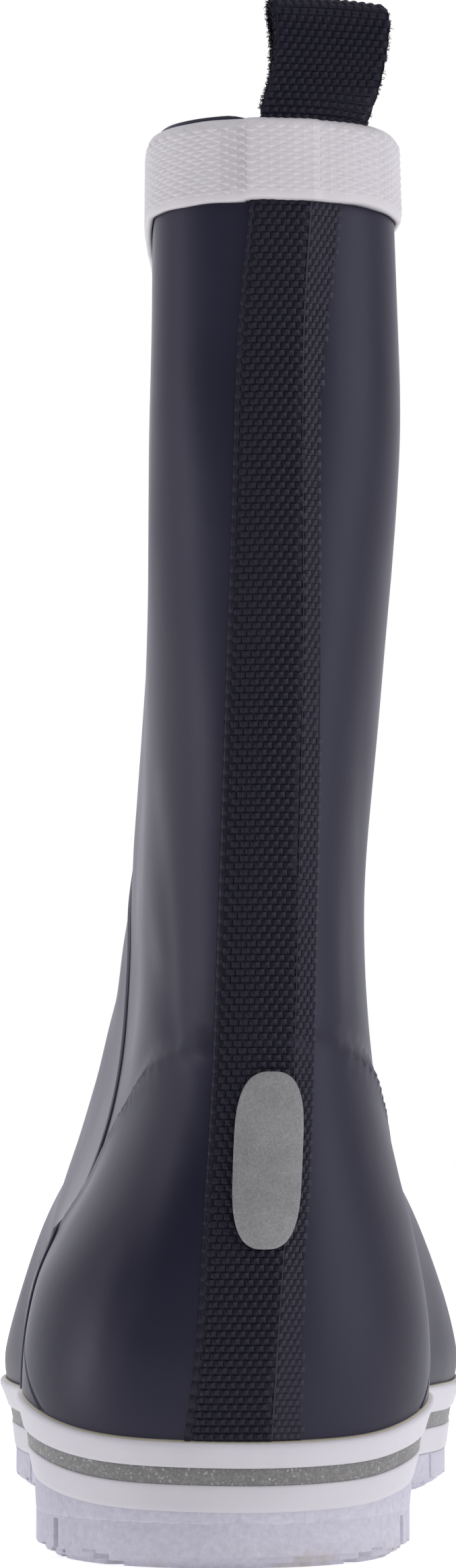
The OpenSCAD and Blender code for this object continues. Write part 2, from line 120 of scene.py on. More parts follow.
def softbox(name, place, target, width, height, power):
    """A rectangular lamp at a place, aimed at its target and hidden from the camera."""
    data = bpy.data.lights.new(name, "AREA")
    data.shape = "RECTANGLE"
    data.size = width
    data.size_y = height
    data.energy = power
    data.color = (0.95, 0.94, 1.0)
    lamp = bpy.data.objects.new(name, data)
    lamp.location = place
    lamp.rotation_mode = "QUATERNION"
    lamp.rotation_quaternion = (Vector(target) - Vector(place)).to_track_quat("-Z", "Y")
    lamp.visible_camera = False
    scene.collection.objects.link(lamp)


MIDDLE = (0, 0.05, 0.12)
softbox("softbox_left", (-1.5, 0.1, 0.62), MIDDLE, 0.30, 0.9, 1.8)
softbox("softbox_low_left", (-1.5, -0.1, 0.11), (0, 0.0, 0.05), 0.45, 0.2, 2.8)
softbox("softbox_right", (1.45, -0.75, 0.6), MIDDLE, 1.2, 1.4, 13)
softbox("softbox_top", (0.0, -0.7, 1.7), MIDDLE, 1.6, 1.6, 12)

floor_mesh = bpy.data.meshes.new("floor")
floor_mesh.from_pydata([(-6, -6, 0), (6, -6, 0), (6, 6, 0), (-6, 6, 0)], [], [(0, 1, 2, 3)])
floor = bpy.data.objects.new("floor", floor_mesh)
scene.collection.objects.link(floor)
floor_paint = bpy.data.materials.new("pale_floor")
floor_paint.use_nodes = True
shader = floor_paint.node_tree.nodes["Principled BSDF"].inputs
for label, value in (("Base Color", (0.86, 0.86, 0.86, 1)), ("Roughness", 0.9),
                     ("Specular IOR Level", 0.1), ("Emission Color", (1, 1, 1, 1)),
                     ("Emission Strength", 0.62)):
    shader[label].default_value = value
floor_mesh.materials.append(floor_paint)

# ---------------------------------------------------------------- Leg and heel
# Vulcanised sheet rubber laid over the last by hand, in one piece from the leg's top to
# the heel. The stiffener under it shows as a raised, rounded shield round the heel.

# Side view of the boot (millimetres): back line, front of the leg, instep, top of the foot
BACK_LINE = [(0, -31), (20, -31), (34, -31.3), (50, -30), (70, -26.5), (95, -22.5), (130, -21),
             (180, -21), (250, -20)]
LEG_FRONT = [(120, 88), (150, 88.5), (180, 90), (250, 92.5)]
INSTEP = [(0, 30), (22.5, 31), (45, 34.5), (67.5, 40), (90, 48)]
FOOT_TOP = [(110, 85), (118, 80), (133, 67.5), (148, 58), (163, 51.5), (177, 46), (188, 39),
            (194, 32.5), (197, 26.5), (200, 20)]
# Half widths and sideways shifts, of the leg by height and of the foot by length
LEG_HALF = [(0, 32.6), (20, 32.8), (33, 32.8), (43, 31), (52, 27.6), (61, 23.8), (73, 20.7),
            (87, 19.2), (109, 18.7), (145, 19.9), (184, 20.95), (207, 20.45), (250, 19.75)]
FOOT_HALF = [(-40, 32.6), (0, 32.6), (28, 30.2), (60, 29.5), (95, 35.5), (122, 43), (140, 45.3),
             (200, 45.3)]
LEG_SHIFT = [(0, 0.2), (42, 2), (60, 4.9), (73, 5.8), (109, 6.1), (145, 7.8), (184, 8.95),
             (235, 8.55), (260, 8.55)]
FOOT_SHIFT = [(-40, 0), (0, 0.2), (40, 2.2), (90, 8.2), (140, 12.9), (200, 14)]
FAN_Y, FAN_Z = 118, 128          # pivot of the sections round the ankle
LEG_TOP, SOLE_Z, TOE_Y, HEEL_Y = 235, 9.2, 197, -31
TOE_END = 197.34                 # the last section, at the toe's tip
CORNER_ANGLE = 38.5              # sections up to this slope end at the back, steeper ones at the sole
LEG_LOW = 128.2                  # level sections stop here, just over the pivot
RUBBER_T, LINING_T, LINING_OUT, LINING_IN = 1.6, 1.4, 1.9, 3.3
TOE_POWER, BACK_POWER = 2.3, 2.15


def through(points, x):
    """Smooth curve through (x, value) points."""
    p = np.asarray(points, float)
    x = np.asarray(x, float)
    n = len(p)
    after, before = np.minimum(np.arange(n) + 1, n - 1), np.maximum(np.arange(n) - 1, 0)
    slopes = (p[after, 1] - p[before, 1]) / (p[after, 0] - p[before, 0])
    i = np.clip(np.searchsorted(p[:, 0], x, side="right") - 1, 0, n - 2)
    h = p[i + 1, 0] - p[i, 0]
    t = np.clip((x - p[i, 0]) / h, 0, 1)
    return ((2 * t**3 - 3 * t**2 + 1) * p[i, 1] + (t**3 - 2 * t**2 + t) * h * slopes[i]
            + (3 * t**2 - 2 * t**3) * p[i + 1, 1] + (t**3 - t**2) * h * slopes[i + 1])


def ease(a, b, x):
    t = np.clip((np.asarray(x, float) - a) / (b - a), 0, 1)
    return t * t * (3 - 2 * t)


def fall(a, b, x):
    return 1 - ease(b, a, x)


def bulge(x, p):
    return (1 - (1 - np.clip(x, 0, 1)) ** p) ** (1 / p)


def fan_angle(y, z):
    inside = np.degrees(np.arctan2(FAN_Z - z, FAN_Y - y))
    return np.where(z >= FAN_Z, 0, np.where(y >= FAN_Y, 90, inside))


def front_depth(y, z):
    round_ankle = np.hypot(FAN_Y - y, FAN_Z - z) - through(INSTEP, fan_angle(y, z))
    return np.where(z >= FAN_Z, through(LEG_FRONT, z) - y,
                    np.where(y >= FAN_Y, through(FOOT_TOP, y) - z, round_ankle))


def front_taper(y, z):
    return 1 - 0.26 * ease(90, 200, z) * ease(-5, 70, y)


def back_radius(z):
    return 17 + 14 * fall(210, 110, z) + 2 * fall(115, 35, z)


def half_width(y, z):
    """Half the boot's width at (y, z) in the side view."""
    y, z = np.asarray(y, float), np.asarray(z, float)
    angle = fan_angle(y, z)
    foot, low = ease(15, 90, angle), ease(0, 90, angle)
    leg = through(LEG_HALF, z) * front_taper(y, z)
    tuck = (2.1 + 0.9 * ease(40, 120, y)) * fall(27, SOLE_Z, z)
    toe_start, toe_stop = 142, TOE_Y + 0.4
    along_toe = np.clip((y - toe_start) / (toe_stop - toe_start), 0, 1)
    toe = np.where(y < toe_start, 1, np.maximum(0, 1 - along_toe**TOE_POWER) ** (1 / TOE_POWER))
    foot_high = through(FOOT_TOP, np.maximum(y, FAN_Y)) - SOLE_Z
    front_round = (1 - low) * 42 + low * np.maximum(16, 0.88 * foot_high)
    front = bulge(front_depth(y, z) / front_round, 2.25 - 0.2 * low)
    back = bulge((y - through(BACK_LINE, z)) / back_radius(z), BACK_POWER)
    across_foot = (foot * through(FOOT_HALF, y) - tuck) * toe
    return ((1 - foot) * leg + across_foot) * front * np.where(y < 70, back, 1)


def side_shift(y, z):
    foot = ease(15, 90, fan_angle(y, z))
    return (1 - foot) * through(LEG_SHIFT, z) + foot * through(FOOT_SHIFT, y)


def section_rays(under, levels, angles, lengths):
    """Start (front) and end (back or sole) in the side view of the sections through the boot."""
    starts, ends = [], []
    for z in levels:
        starts.append((through(LEG_FRONT, z), z))
        ends.append((through(BACK_LINE, z), z))
    for a in angles:
        c, s = math.cos(math.radians(a)), math.sin(math.radians(a))
        r = through(INSTEP, a)
        starts.append((FAN_Y - r * c, FAN_Z - r * s))
        sole_t = (FAN_Z - SOLE_Z - under) / max(s, 0.0175)
        t = 140.0
        if a <= CORNER_ANGLE:
            for _ in range(12):
                t = (FAN_Y - through(BACK_LINE, FAN_Z - t * s)) / c
            t = min(t, sole_t)
        else:
            t = sole_t
        ends.append((FAN_Y - t * c, FAN_Z - t * s))
    for y in lengths:
        starts.append((y, through(FOOT_TOP, y)))
        ends.append((y, SOLE_Z + under))
    return np.array(starts, float), np.array(ends, float)


def steps(*spans):
    """Values of several spans, each (start, stop, step), one after the other."""
    return np.concatenate([np.arange(*span, dtype=float) for span in spans])


def reaches_back(levels, angles, lengths=()):
    """1 for each section that ends at the back, 0 for each that ends at the sole."""
    return np.concatenate([np.ones(len(levels)), np.asarray(angles) <= CORNER_ANGLE,
                           np.zeros(len(lengths))])


# The vamp's rear edge in the side view, as the place along the foot at each height
SEAM = [(0, 12), (25, 12), (45, 15.5), (64, 21), (84, 29), (100, 40), (113, 56), (124, 75),
        (133, 110), (136, 220)]


def share_at_seam(starts, ends, seam_y=0.0, seam_z=0.0):
    """How far down each section the seam crosses it: 0 at the front, 1 where it never does."""
    f = np.linspace(0, 1, 1601)
    y = starts[:, :1] + (ends - starts)[:, :1] * f
    z = starts[:, 1:] + (ends - starts)[:, 1:] * f
    ahead = y - seam_y - through(SEAM, z - seam_z)
    first = np.argmax(ahead < 0, axis=1)
    found = (ahead < 0).any(axis=1)
    rows = np.arange(len(first))
    back = np.maximum(first - 1, 0)
    a0, a1 = ahead[rows, back], ahead[rows, first]
    share = f[back] + (f[first] - f[back]) * np.where(a0 > a1, a0 / np.maximum(a0 - a1, 1e-9), 0)
    return np.where(found, np.where(first == 0, 0, share), 1.0)


def grid_faces(rows, cols, start=0, turn=False):
    i, j = np.meshgrid(np.arange(rows - 1), np.arange(cols - 1), indexing="ij")
    a = (start + i * cols + j).ravel()
    quads = np.stack([a, a + 1, a + cols + 1, a + cols], axis=1)
    return quads[:, ::-1] if turn else quads


def ring_faces(rows, count, closed=True):
    """Faces between rings of points that follow one another, the last joined to the first if closed."""
    i, j = np.meshgrid(np.arange(rows if closed else rows - 1), np.arange(count), indexing="ij")
    here, there, beside = i * count, (i + 1) % rows * count, (j + 1) % count
    return np.stack([here + j, here + beside, there + beside, there + j], -1).reshape(-1, 4)


def plain_mesh(name, points, faces, merge=0.0):
    """A smooth mesh object from points in millimetres, points closer than merge made one."""
    mesh = bpy.data.meshes.new(name)
    mesh.from_pydata((np.asarray(points) * MM).tolist(), [], np.asarray(faces).tolist())
    if merge:
        work = bmesh.new()
        work.from_mesh(mesh)
        bmesh.ops.remove_doubles(work, verts=work.verts, dist=merge * MM)
        bmesh.ops.dissolve_degenerate(work, edges=work.edges, dist=1e-7)
        work.to_mesh(mesh)
        work.free()
    mesh.polygons.foreach_set("use_smooth", [True] * len(mesh.polygons))
    mesh.update()
    piece = bpy.data.objects.new(name, mesh)
    scene.collection.objects.link(piece)
    return piece


def skin(name, starts, ends, from_share, to_share, closed_rows, columns=84, merge=0.03):
    """One layer of the boot's skin over the sections, both sides, merged at the front and back."""
    from_share, to_share, lean = (np.broadcast_to(np.asarray(value, float), len(starts))[:, None]
                                  for value in (from_share, to_share, closed_rows))
    k = np.linspace(0, 1, columns)[None, :]
    even = (1 - np.cos(np.pi * k)) / 2
    open_end = 1 - np.cos(np.pi / 2 * k)
    spread = lean * even + (1 - lean) * (0.55 * open_end + 0.45 * even)
    f = from_share + (to_share - from_share) * spread
    y = starts[:, :1] + (ends - starts)[:, :1] * f
    z = starts[:, 1:] + (ends - starts)[:, 1:] * f
    w = np.where(f <= 1e-6, 0, half_width(y, z))
    w[:, -1] = np.where(((lean > 0.5) & (to_share > 0.999))[:, 0], 0, w[:, -1])
    m = side_shift(y, z)
    right = np.stack([m + w, y, z], -1).reshape(-1, 3)
    left = np.stack([m - w, y, z], -1).reshape(-1, 3)
    rows = len(starts)
    faces = np.concatenate([grid_faces(rows, columns), grid_faces(rows, columns, len(right), True)])
    return plain_mesh(name, np.concatenate([right, left]), faces, merge=merge)


def raise_skin(piece, height):
    """Moves each point along its normal by height(x, y, z), all in millimetres."""
    mesh = piece.data
    n = len(mesh.vertices)
    co, no = np.empty(n * 3), np.empty(n * 3, np.float32)
    mesh.vertices.foreach_get("co", co)
    mesh.vertex_normals.foreach_get("vector", no)
    co, no = co.reshape(-1, 3) / MM, no.reshape(-1, 3)
    h = height(co[:, 0], co[:, 1], co[:, 2])
    co = co + no * h[:, None]
    mesh.vertices.foreach_set("co", (co * MM).ravel())
    mesh.update()


def settled(piece):
    """Turns the piece's modifiers into plain mesh."""
    graph = bpy.context.evaluated_depsgraph_get()
    mesh = bpy.data.meshes.new_from_object(piece.evaluated_get(graph))
    old = piece.data
    piece.modifiers.clear()
    piece.data = mesh
    mesh.name = old.name + "_mesh"
    return piece


def thicken(piece, thickness, group=None, floor=0.0):
    """Gives a surface its thickness inwards; a vertex group can thin it down to the floor share."""
    solid = piece.modifiers.new("thickness", "SOLIDIFY")
    solid.thickness = thickness * MM
    solid.offset = -1
    solid.use_rim = True
    if group:
        solid.vertex_group = group
        solid.thickness_vertex_group = floor
    return settled(piece)


# Heel stiffener's upper edge in the side view, and its shield-shaped plateau
SHIELD = np.array([(-45, 84.5), (-21, 84), (-8, 79.5), (6, 69), (17, 56), (26, 42), (31, 26),
                   (33, 0)], float)


def inside_shield(y, z):
    """Distance inside the stiffener's edge in the side view, negative outside it."""
    p = np.stack([y, z], -1)[:, None, :]
    a, b = SHIELD[:-1][None], SHIELD[1:][None]
    t = np.clip(((p - a) * (b - a)).sum(-1) / ((b - a) ** 2).sum(-1), 0, 1)
    near = a + (b - a) * t[..., None]
    dist = np.linalg.norm(p - near, axis=-1)
    k = dist.argmin(1)
    r = np.arange(len(k))
    edge = (b - a)[0][k]
    off = p[:, 0] - near[r, k]
    side = edge[:, 0] * off[:, 1] - edge[:, 1] * off[:, 0]
    return np.where(side < 0, 1, -1) * dist[r, k]


def waviness(x, y, z):
    """Slow unevenness of rubber laid by hand."""
    return (0.07 * np.sin(x / 9.1 + z / 23 + 1.1) * np.sin(y / 13.7 - z / 31 + 0.4)
            + 0.04 * np.sin(x / 4.7 - y / 8.3 + z / 14.9 + 2.0) * np.sin(z / 9.8 + 0.7)
            + 0.03 * np.sin(z / 5.9 + x / 6.3 + 0.3) * np.sin(y / 5.1 + 1.7))


# Long shallow creases: (x, z, half length, half width, depth, lean), on the back of the leg
CREASES = [(-13.5, 104, 20, 1.6, 0.55, -0.22), (-9.5, 98, 14, 1.2, 0.34, -0.05),
           (-16.5, 96, 16, 1.4, 0.42, -0.04), (-11.8, 124, 14, 1.4, 0.34, -0.08),
           (20, 98, 16, 1.4, 0.22, 0.0), (22.5, 116, 20, 1.5, 0.22, 0.02),
           (-14, 52, 15, 2.2, 0.10, 0.22), (-18, 38, 11, 2.0, 0.08, 0.25),
           (18.5, 50, 14, 2.0, 0.07, -0.1)]


def leg_relief(x, y, z):
    """Height of the stiffener's shield, the waviness, the creases and the ankle folds."""
    depth = inside_shield(y, z)
    fade = ease(14, 24, z)
    h = 0.75 * ease(-0.9, 1.0, depth) * fade + 0.38 * np.exp(-((depth - 1.3) / 1.1) ** 2) * fade
    h = h - 0.10 * np.exp(-((depth + 2.4) / 2.0) ** 2) * fade
    h = h + waviness(x, y, z) * ease(12, 30, z) * fall(234, 215, z)
    at_back = fall(12, -4, y)
    for cx, cz, length, width, deep, lean in CREASES:
        across = (x - cx - lean * (z - cz)) / width
        h = h - deep * np.exp(-across**2) * np.exp(-((z - cz) / length) ** 2) * at_back
    # shallow folds that fan out over the instep, where the ankle bends
    bend = np.exp(-((fan_angle(y, z) - 22) / 20) ** 2) * ease(40, 70, y)
    return h + 0.28 * bend * np.sin(fan_angle(y, z) / 2.9 + 0.35 * np.sin(x / 6))


leg_levels = np.append([LEG_TOP, LEG_TOP - 0.5], steps((LEG_TOP - 2.2, LEG_LOW, -2.2)))
back_angles = steps((0, 30, 0.7), (30, 36, 0.5), (36, 42, 0.34), (42, 52.01, 0.5))
starts, ends = section_rays(0, leg_levels, back_angles, [])
LAP = 6.0                        # how far the vamp laps over the leg piece
seam_share = share_at_seam(starts, ends)
from_share = np.clip(seam_share - LAP / np.linalg.norm(ends - starts, axis=1), 0, 1)
keep = from_share < 0.985
closed = reaches_back(leg_levels, back_angles)
leg_shell = skin("leg_shell", starts[keep], ends[keep], from_share[keep], 1, closed[keep])


def leg_height(x, y, z):
    return leg_relief(x, y, z) - 0.35 * ease(LEG_TOP - 0.9, LEG_TOP, z)


raise_skin(leg_shell, leg_height)


def lift_rim(piece, low, high, rise):
    """The rubber's edge stands above the band from low to high at the back, below it elsewhere."""
    for v in piece.data.vertices:
        x, y, z = v.co / MM
        if z > LEG_TOP - 3:
            near_top = float(ease(LEG_TOP - 3, LEG_TOP, z))
            share = float(ease(low - 5, low + 2, x) * fall(high + 4, high - 2, x) * fall(2, -12, y))
            v.co.z += (rise * share - 0.4 * (1 - share)) * near_top * MM


lift_rim(leg_shell, -13.0, 1.5, 0.7)
leg_shell = thicken(leg_shell, RUBBER_T)


class Finish:
    """A material being made up on its piece's own coordinates."""

    def __init__(self, name, roughness, specular=0.5, tint=(1, 1, 1)):
        self.material = bpy.data.materials.new(name)
        self.material.use_nodes = True
        self.nodes = self.material.node_tree.nodes
        self.link = self.material.node_tree.links.new
        self.shader = self.nodes["Principled BSDF"].inputs
        self.shader["Roughness"].default_value = roughness
        self.shader["Specular IOR Level"].default_value = specular
        self.shader["Specular Tint"].default_value = (*tint, 1)
        self.place = self.nodes.new("ShaderNodeTexCoord").outputs["Object"]

    def noise(self, scale, detail=4.0, rough=0.6):
        n = self.nodes.new("ShaderNodeTexNoise")
        for label, value in (("Scale", scale), ("Detail", detail), ("Roughness", rough)):
            n.inputs[label].default_value = value
        self.link(self.place, n.inputs["Vector"])
        return n.outputs[0]

    def dots(self, scale, place=None):
        n = self.nodes.new("ShaderNodeTexVoronoi")
        n.inputs["Scale"].default_value = scale
        self.link(place or self.place, n.inputs["Vector"])
        return n.outputs

    def ribs(self, scale, distortion=0.0):
        """Waves of ribs that follow one another upward."""
        n = self.nodes.new("ShaderNodeTexWave")
        n.inputs["Scale"].default_value = scale
        n.inputs["Distortion"].default_value = distortion
        n.bands_direction = "Z"
        self.link(self.place, n.inputs["Vector"])
        return n.outputs[0]

    def stops(self, value, *points):
        """Colour ramp: points are (place, colour), where one number stands for a grey."""
        n = self.nodes.new("ShaderNodeValToRGB")
        while len(n.color_ramp.elements) < len(points):
            n.color_ramp.elements.new(0.5)
        for element, (at, colour) in zip(n.color_ramp.elements, points):
            element.position = at
            element.color = (*colour, 1) if isinstance(colour, tuple) else (colour, colour, colour, 1)
        self.link(value, n.inputs["Fac"])
        return n.outputs[0]

    def mixed(self, share, a, b, mode="MIX"):
        """Mix of two colours or outputs by a share."""
        n = self.nodes.new("ShaderNodeMix")
        n.data_type = "RGBA"
        n.blend_type = mode
        for value, socket in ((share, n.inputs[0]), (a, n.inputs[6]), (b, n.inputs[7])):
            if isinstance(value, float):
                socket.default_value = value
            elif isinstance(value, tuple):
                socket.default_value = (*value, 1)
            else:
                self.link(value, socket)
        return n.outputs[2]

    def coloured(self, value):
        self.link(value, self.shader["Base Color"])

    def bumped(self, *heights):
        """Chains bumps: heights are (output, strength, distance in metres)."""
        last = None
        for value, strength, distance in heights:
            n = self.nodes.new("ShaderNodeBump")
            n.inputs["Strength"].default_value = strength
            n.inputs["Distance"].default_value = distance
            self.link(value, n.inputs["Height"])
            if last:
                self.link(last.outputs[0], n.inputs["Normal"])
            last = n
        self.link(last.outputs[0], self.shader["Normal"])
        return self.material


BLUE_SHEEN = (0.88, 0.87, 1.0)


def navy_rubber(name, deep, pale, roughness, specular=0.34):
    """Satin navy rubber: slow tone changes, a bloom of grey, lint specks and a fine skin."""
    made = Finish(name, roughness, specular, BLUE_SHEEN)
    slow = made.noise(22, 3, 0.55)
    tone = made.stops(slow, (0.32, deep), (0.72, pale))
    lint = made.stops(made.dots(190)["Distance"], (0.0, 1.0), (0.055, 0.0))
    patchy = made.stops(made.noise(55, 2, 0.5), (0.56, 0.0), (0.66, 0.5))
    share = made.mixed(1.0, lint, patchy, "MULTIPLY")
    made.coloured(made.mixed(share, tone, (0.22, 0.22, 0.26)))
    dull = made.stops(slow, (0.3, roughness - 0.05), (0.75, roughness + 0.07))
    made.link(dull, made.shader["Roughness"])
    return made.bumped((made.noise(120, 4, 0.55), 0.10, 0.0006),
                       (made.noise(1500, 3, 0.6), 0.10, 0.00012))


NAVY_DEEP, NAVY_PALE = (0.0070, 0.0066, 0.0180), (0.0098, 0.0093, 0.0225)
rubber_paint = navy_rubber("navy_rubber_satin", NAVY_DEEP, NAVY_PALE, 0.44)


def dress(piece, material):
    piece.data.materials.clear()
    piece.data.materials.append(material)
    return piece


dress(leg_shell, rubber_paint)
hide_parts("leg_shell")
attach(leg_shell, "boot")

# ---------------------------------------------------------------- Vamp
# The front of the foot, cut from a second sheet of the same rubber and lapped over the leg
# piece. Its raised, rolled edge runs from the sole up and forward over the ankle.
VAMP_T = 0.35                    # how far the vamp stands off the leg piece
front_angles = steps((0, 6, 0.4), (6, 44, 0.7), (44, 50, 0.4), (50, 90, 0.9))
foot_lengths = np.append(steps((118, 180, 2.0), (180, 192, 1.2), (192, 197.2, 0.55)), TOE_END)
starts, ends = section_rays(0, [], front_angles, foot_lengths)
vamp_share = share_at_seam(starts, ends)
keep = vamp_share > 0
vamp = skin("vamp", starts[keep], ends[keep], 0, vamp_share[keep], 0)


def ahead_of_seam(y, z):
    """Distance in front of the seam in the side view, by the seam's slope there."""
    slope = through(SEAM, z + 0.5) - through(SEAM, z - 0.5)
    return (y - through(SEAM, z)) / np.sqrt(1 + slope**2)


def vamp_height(x, y, z):
    edge = ahead_of_seam(y, z)
    roll = 0.18 * np.exp(-((edge - 1.1) / 0.9) ** 2) - 0.30 * fall(0.9, 0.0, edge)
    return leg_relief(x, y, z) + VAMP_T * (1 - 0.5 * fall(24, 18, z)) + roll


raise_skin(vamp, vamp_height)
lap_zone = vamp.vertex_groups.new(name="beyond_lap")
for v in vamp.data.vertices:
    _, y, z = v.co / MM
    lap_zone.add([v.index], float(ease(LAP, LAP + 3, ahead_of_seam(y, z))), "REPLACE")
vamp = thicken(vamp, VAMP_T + RUBBER_T - 0.1, "beyond_lap", 0.22)
dress(vamp, navy_rubber("navy_rubber_vamp", NAVY_DEEP, NAVY_PALE, 0.42))
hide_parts("vamp")
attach(vamp, "boot")

# ---------------------------------------------------------------- Embossed strips up the back
# Two calendered rubber strips laid side by side over the closing seam, embossed with a
# staggered grid of little three-cornered bumps. The wide one has a plain, notched margin
# along its left edge.
STRIP_LEFT = [(20, -8), (35, -6.2), (52, -5), (73, -3.3), (91, -2.3), (129, -0.9), (165, 0.3),
              (200, 1.5), (221, 3.3), (232, 4.0)]
STRIP_RIGHT = [(20, 5.3), (44, 6.9), (65, 8.8), (95, 10.2), (147, 11.5), (186, 11.5), (203, 11.8),
               (221, 12.9), (232, 13.4)]
SIDE_RIGHT = [(20, 10.2), (51, 11), (66, 12.2), (95, 13.6), (141, 14.5), (182, 14.3), (200, 15.7),
              (221, 18.2), (232, 19.4)]


def back_point(x, z, d):
    """Point on the back of the leg at (x, z), d outside the rubber."""
    x, z = np.asarray(x, float), np.asarray(z, float)
    m, w = through(LEG_SHIFT, z), half_width(np.full_like(z, 25.0), z) / front_taper(25, z)
    q = np.minimum(0.93, np.abs(x - m) / w)
    y = through(BACK_LINE, z) + back_radius(z) * (1 - (1 - q**BACK_POWER) ** (1 / BACK_POWER))
    nx = (x - m) / w * 0.9
    nn = np.hypot(nx, 1)
    return np.stack([x + nx / nn * d, y - d / nn, z + 0 * x], -1)


def slab(name, top, under, turn=False):
    """A closed sheet from two grids of points, joined round the rim."""
    rows, columns = top.shape[:2]
    n = rows * columns
    rim = np.concatenate([np.arange(columns), np.arange(2 * columns - 1, n, columns),
                          np.arange(n - 2, n - columns - 1, -1), np.arange(n - 2 * columns, 0, -columns)])
    ring = np.stack([rim, rim + n, np.roll(rim, -1) + n, np.roll(rim, -1)], 1)
    faces = np.concatenate([grid_faces(rows, columns, 0, turn), grid_faces(rows, columns, n, not turn),
                            ring if turn else ring[:, ::-1]])
    return plain_mesh(name, np.concatenate([top.reshape(-1, 3), under.reshape(-1, 3)]), faces)


def tape(name, left, right, profile, rows, columns):
    """A strip laid on the leg's back; profile(u, z) is its surface's height above the rubber."""
    z = np.linspace(STRIP_HIGH, STRIP_LOW, rows)[:, None]
    u = np.linspace(0, 1, columns)[None, :]
    x = left(z) + (right(z) - left(z)) * u
    return slab(name, back_point(x, z + 0 * u, profile(u, z)), back_point(x, z + 0 * u, 0.02 + 0 * x))


def cell_of(name, points, faces):
    """A small shape about a unit across, to be set many times over a surface."""
    mesh = bpy.data.meshes.new(name)
    mesh.from_pydata(points, [], faces)
    return bpy.data.objects.new(name, mesh)


def bump_shape(peak_y):
    """A square tile with a three-cornered bump on it, and walls down into the strip."""
    tile = [(-0.5, -0.5), (0.5, -0.5), (0.5, 0.5), (-0.5, 0.5)]
    points = [(x, y, -0.75) for x, y in tile]
    points += [(-0.20, -0.20, 0.05), (0.16, -0.20, 0.05), (0.06, 0.34, -0.05), (-0.06, 0.34, -0.05)]
    points += [(-0.02, peak_y, 0.12)] + [(x, y, -1.2) for x, y in tile]
    faces = [(0, 1, 5, 4), (1, 2, 6, 5), (2, 3, 7, 6), (3, 0, 4, 7), (4, 5, 8), (5, 6, 8), (6, 7, 8),
             (7, 4, 8), (1, 0, 9, 10), (2, 1, 10, 11), (3, 2, 11, 12), (0, 3, 12, 9)]
    return cell_of("bump", points, faces)


def cell_tree():
    """Sets one cell on each point, turned to its surface: named sizes, a fixed seed."""
    made = bpy.data.node_groups.new("cells_on_surface", "GeometryNodeTree")
    for label, kind in (("Geometry", "Geometry"), ("Cell", "Object"), ("Length", "Float"),
                        ("Width", "Float"), ("Height", "Float"), ("Variation", "Float"),
                        ("Seed", "Int"), ("Material", "Material")):
        made.interface.new_socket(label, in_out="INPUT", socket_type="NodeSocket" + kind)
    made.interface.new_socket("Geometry", in_out="OUTPUT", socket_type="NodeSocketGeometry")
    n, link = made.nodes, made.links.new
    given, stop = n.new("NodeGroupInput").outputs, n.new("NodeGroupOutput")
    points = n.new("GeometryNodeMeshToPoints")
    link(given["Geometry"], points.inputs["Mesh"])
    cell = n.new("GeometryNodeObjectInfo")
    link(given["Cell"], cell.inputs["Object"])

    def attribute(label):
        a = n.new("GeometryNodeInputNamedAttribute")
        a.data_type = "FLOAT_VECTOR"
        a.inputs["Name"].default_value = label
        return a.outputs["Attribute"]

    stand, lie = n.new("FunctionNodeAlignRotationToVector"), n.new("FunctionNodeAlignRotationToVector")
    stand.axis, lie.axis, lie.pivot_axis = "Z", "X", "Z"
    link(attribute("facing"), stand.inputs["Vector"])
    link(stand.outputs["Rotation"], lie.inputs["Rotation"])
    link(attribute("along"), lie.inputs["Vector"])
    size = n.new("ShaderNodeCombineXYZ")
    for label, axis in (("Length", "X"), ("Width", "Y"), ("Height", "Z")):
        link(given[label], size.inputs[axis])
    random = n.new("FunctionNodeRandomValue")
    for operation, bound in (("SUBTRACT", 2), ("ADD", 3)):
        limit = n.new("ShaderNodeMath")
        limit.operation = operation
        limit.inputs[0].default_value = 1.0
        link(given["Variation"], limit.inputs[1])
        link(limit.outputs[0], random.inputs[bound])
    link(given["Seed"], random.inputs["Seed"])
    scaled = n.new("ShaderNodeVectorMath")
    scaled.operation = "SCALE"
    link(size.outputs[0], scaled.inputs[0])
    link(random.outputs[1], scaled.inputs["Scale"])
    put = n.new("GeometryNodeInstanceOnPoints")
    link(points.outputs["Points"], put.inputs["Points"])
    link(cell.outputs["Geometry"], put.inputs["Instance"])
    link(lie.outputs["Rotation"], put.inputs["Rotation"])
    link(scaled.outputs[0], put.inputs["Scale"])
    real, paint = n.new("GeometryNodeRealizeInstances"), n.new("GeometryNodeSetMaterial")
    link(put.outputs["Instances"], real.inputs["Geometry"])
    link(real.outputs["Geometry"], paint.inputs["Geometry"])
    link(given["Material"], paint.inputs["Material"])
    link(paint.outputs["Geometry"], stop.inputs["Geometry"])
    return made


cells_on_surface = cell_tree()


def cells(name, points, facing, along, cell, size, material, variation, seed, smooth=False):
    """A piece made of one cell on each point (sizes in millimetres), as plain mesh."""
    mesh = bpy.data.meshes.new(name)
    mesh.from_pydata((np.asarray(points) * MM).tolist(), [], [])
    for label, values in (("facing", facing), ("along", along)):
        layer = mesh.attributes.new(label, "FLOAT_VECTOR", "POINT")
        layer.data.foreach_set("vector", np.asarray(values, np.float32).ravel())
    piece = bpy.data.objects.new(name, mesh)
    scene.collection.objects.link(piece)
    scene.collection.objects.link(cell)
    made = piece.modifiers.new("cells", "NODES")
    made.node_group = cells_on_surface
    ids = {i.name: i.identifier for i in cells_on_surface.interface.items_tree if i.in_out == "INPUT"}
    length, width, height = size
    for label, value in (("Cell", cell), ("Length", length * MM), ("Width", width * MM),
                         ("Height", height * MM), ("Variation", variation), ("Seed", seed),
                         ("Material", material)):
        made[ids[label]] = value
    settled(piece)
    for label in ("facing", "along"):
        if label in piece.data.attributes:
            piece.data.attributes.remove(piece.data.attributes[label])
    piece.data.polygons.foreach_set("use_smooth", [smooth] * len(piece.data.polygons))
    bpy.data.objects.remove(cell)
    return piece


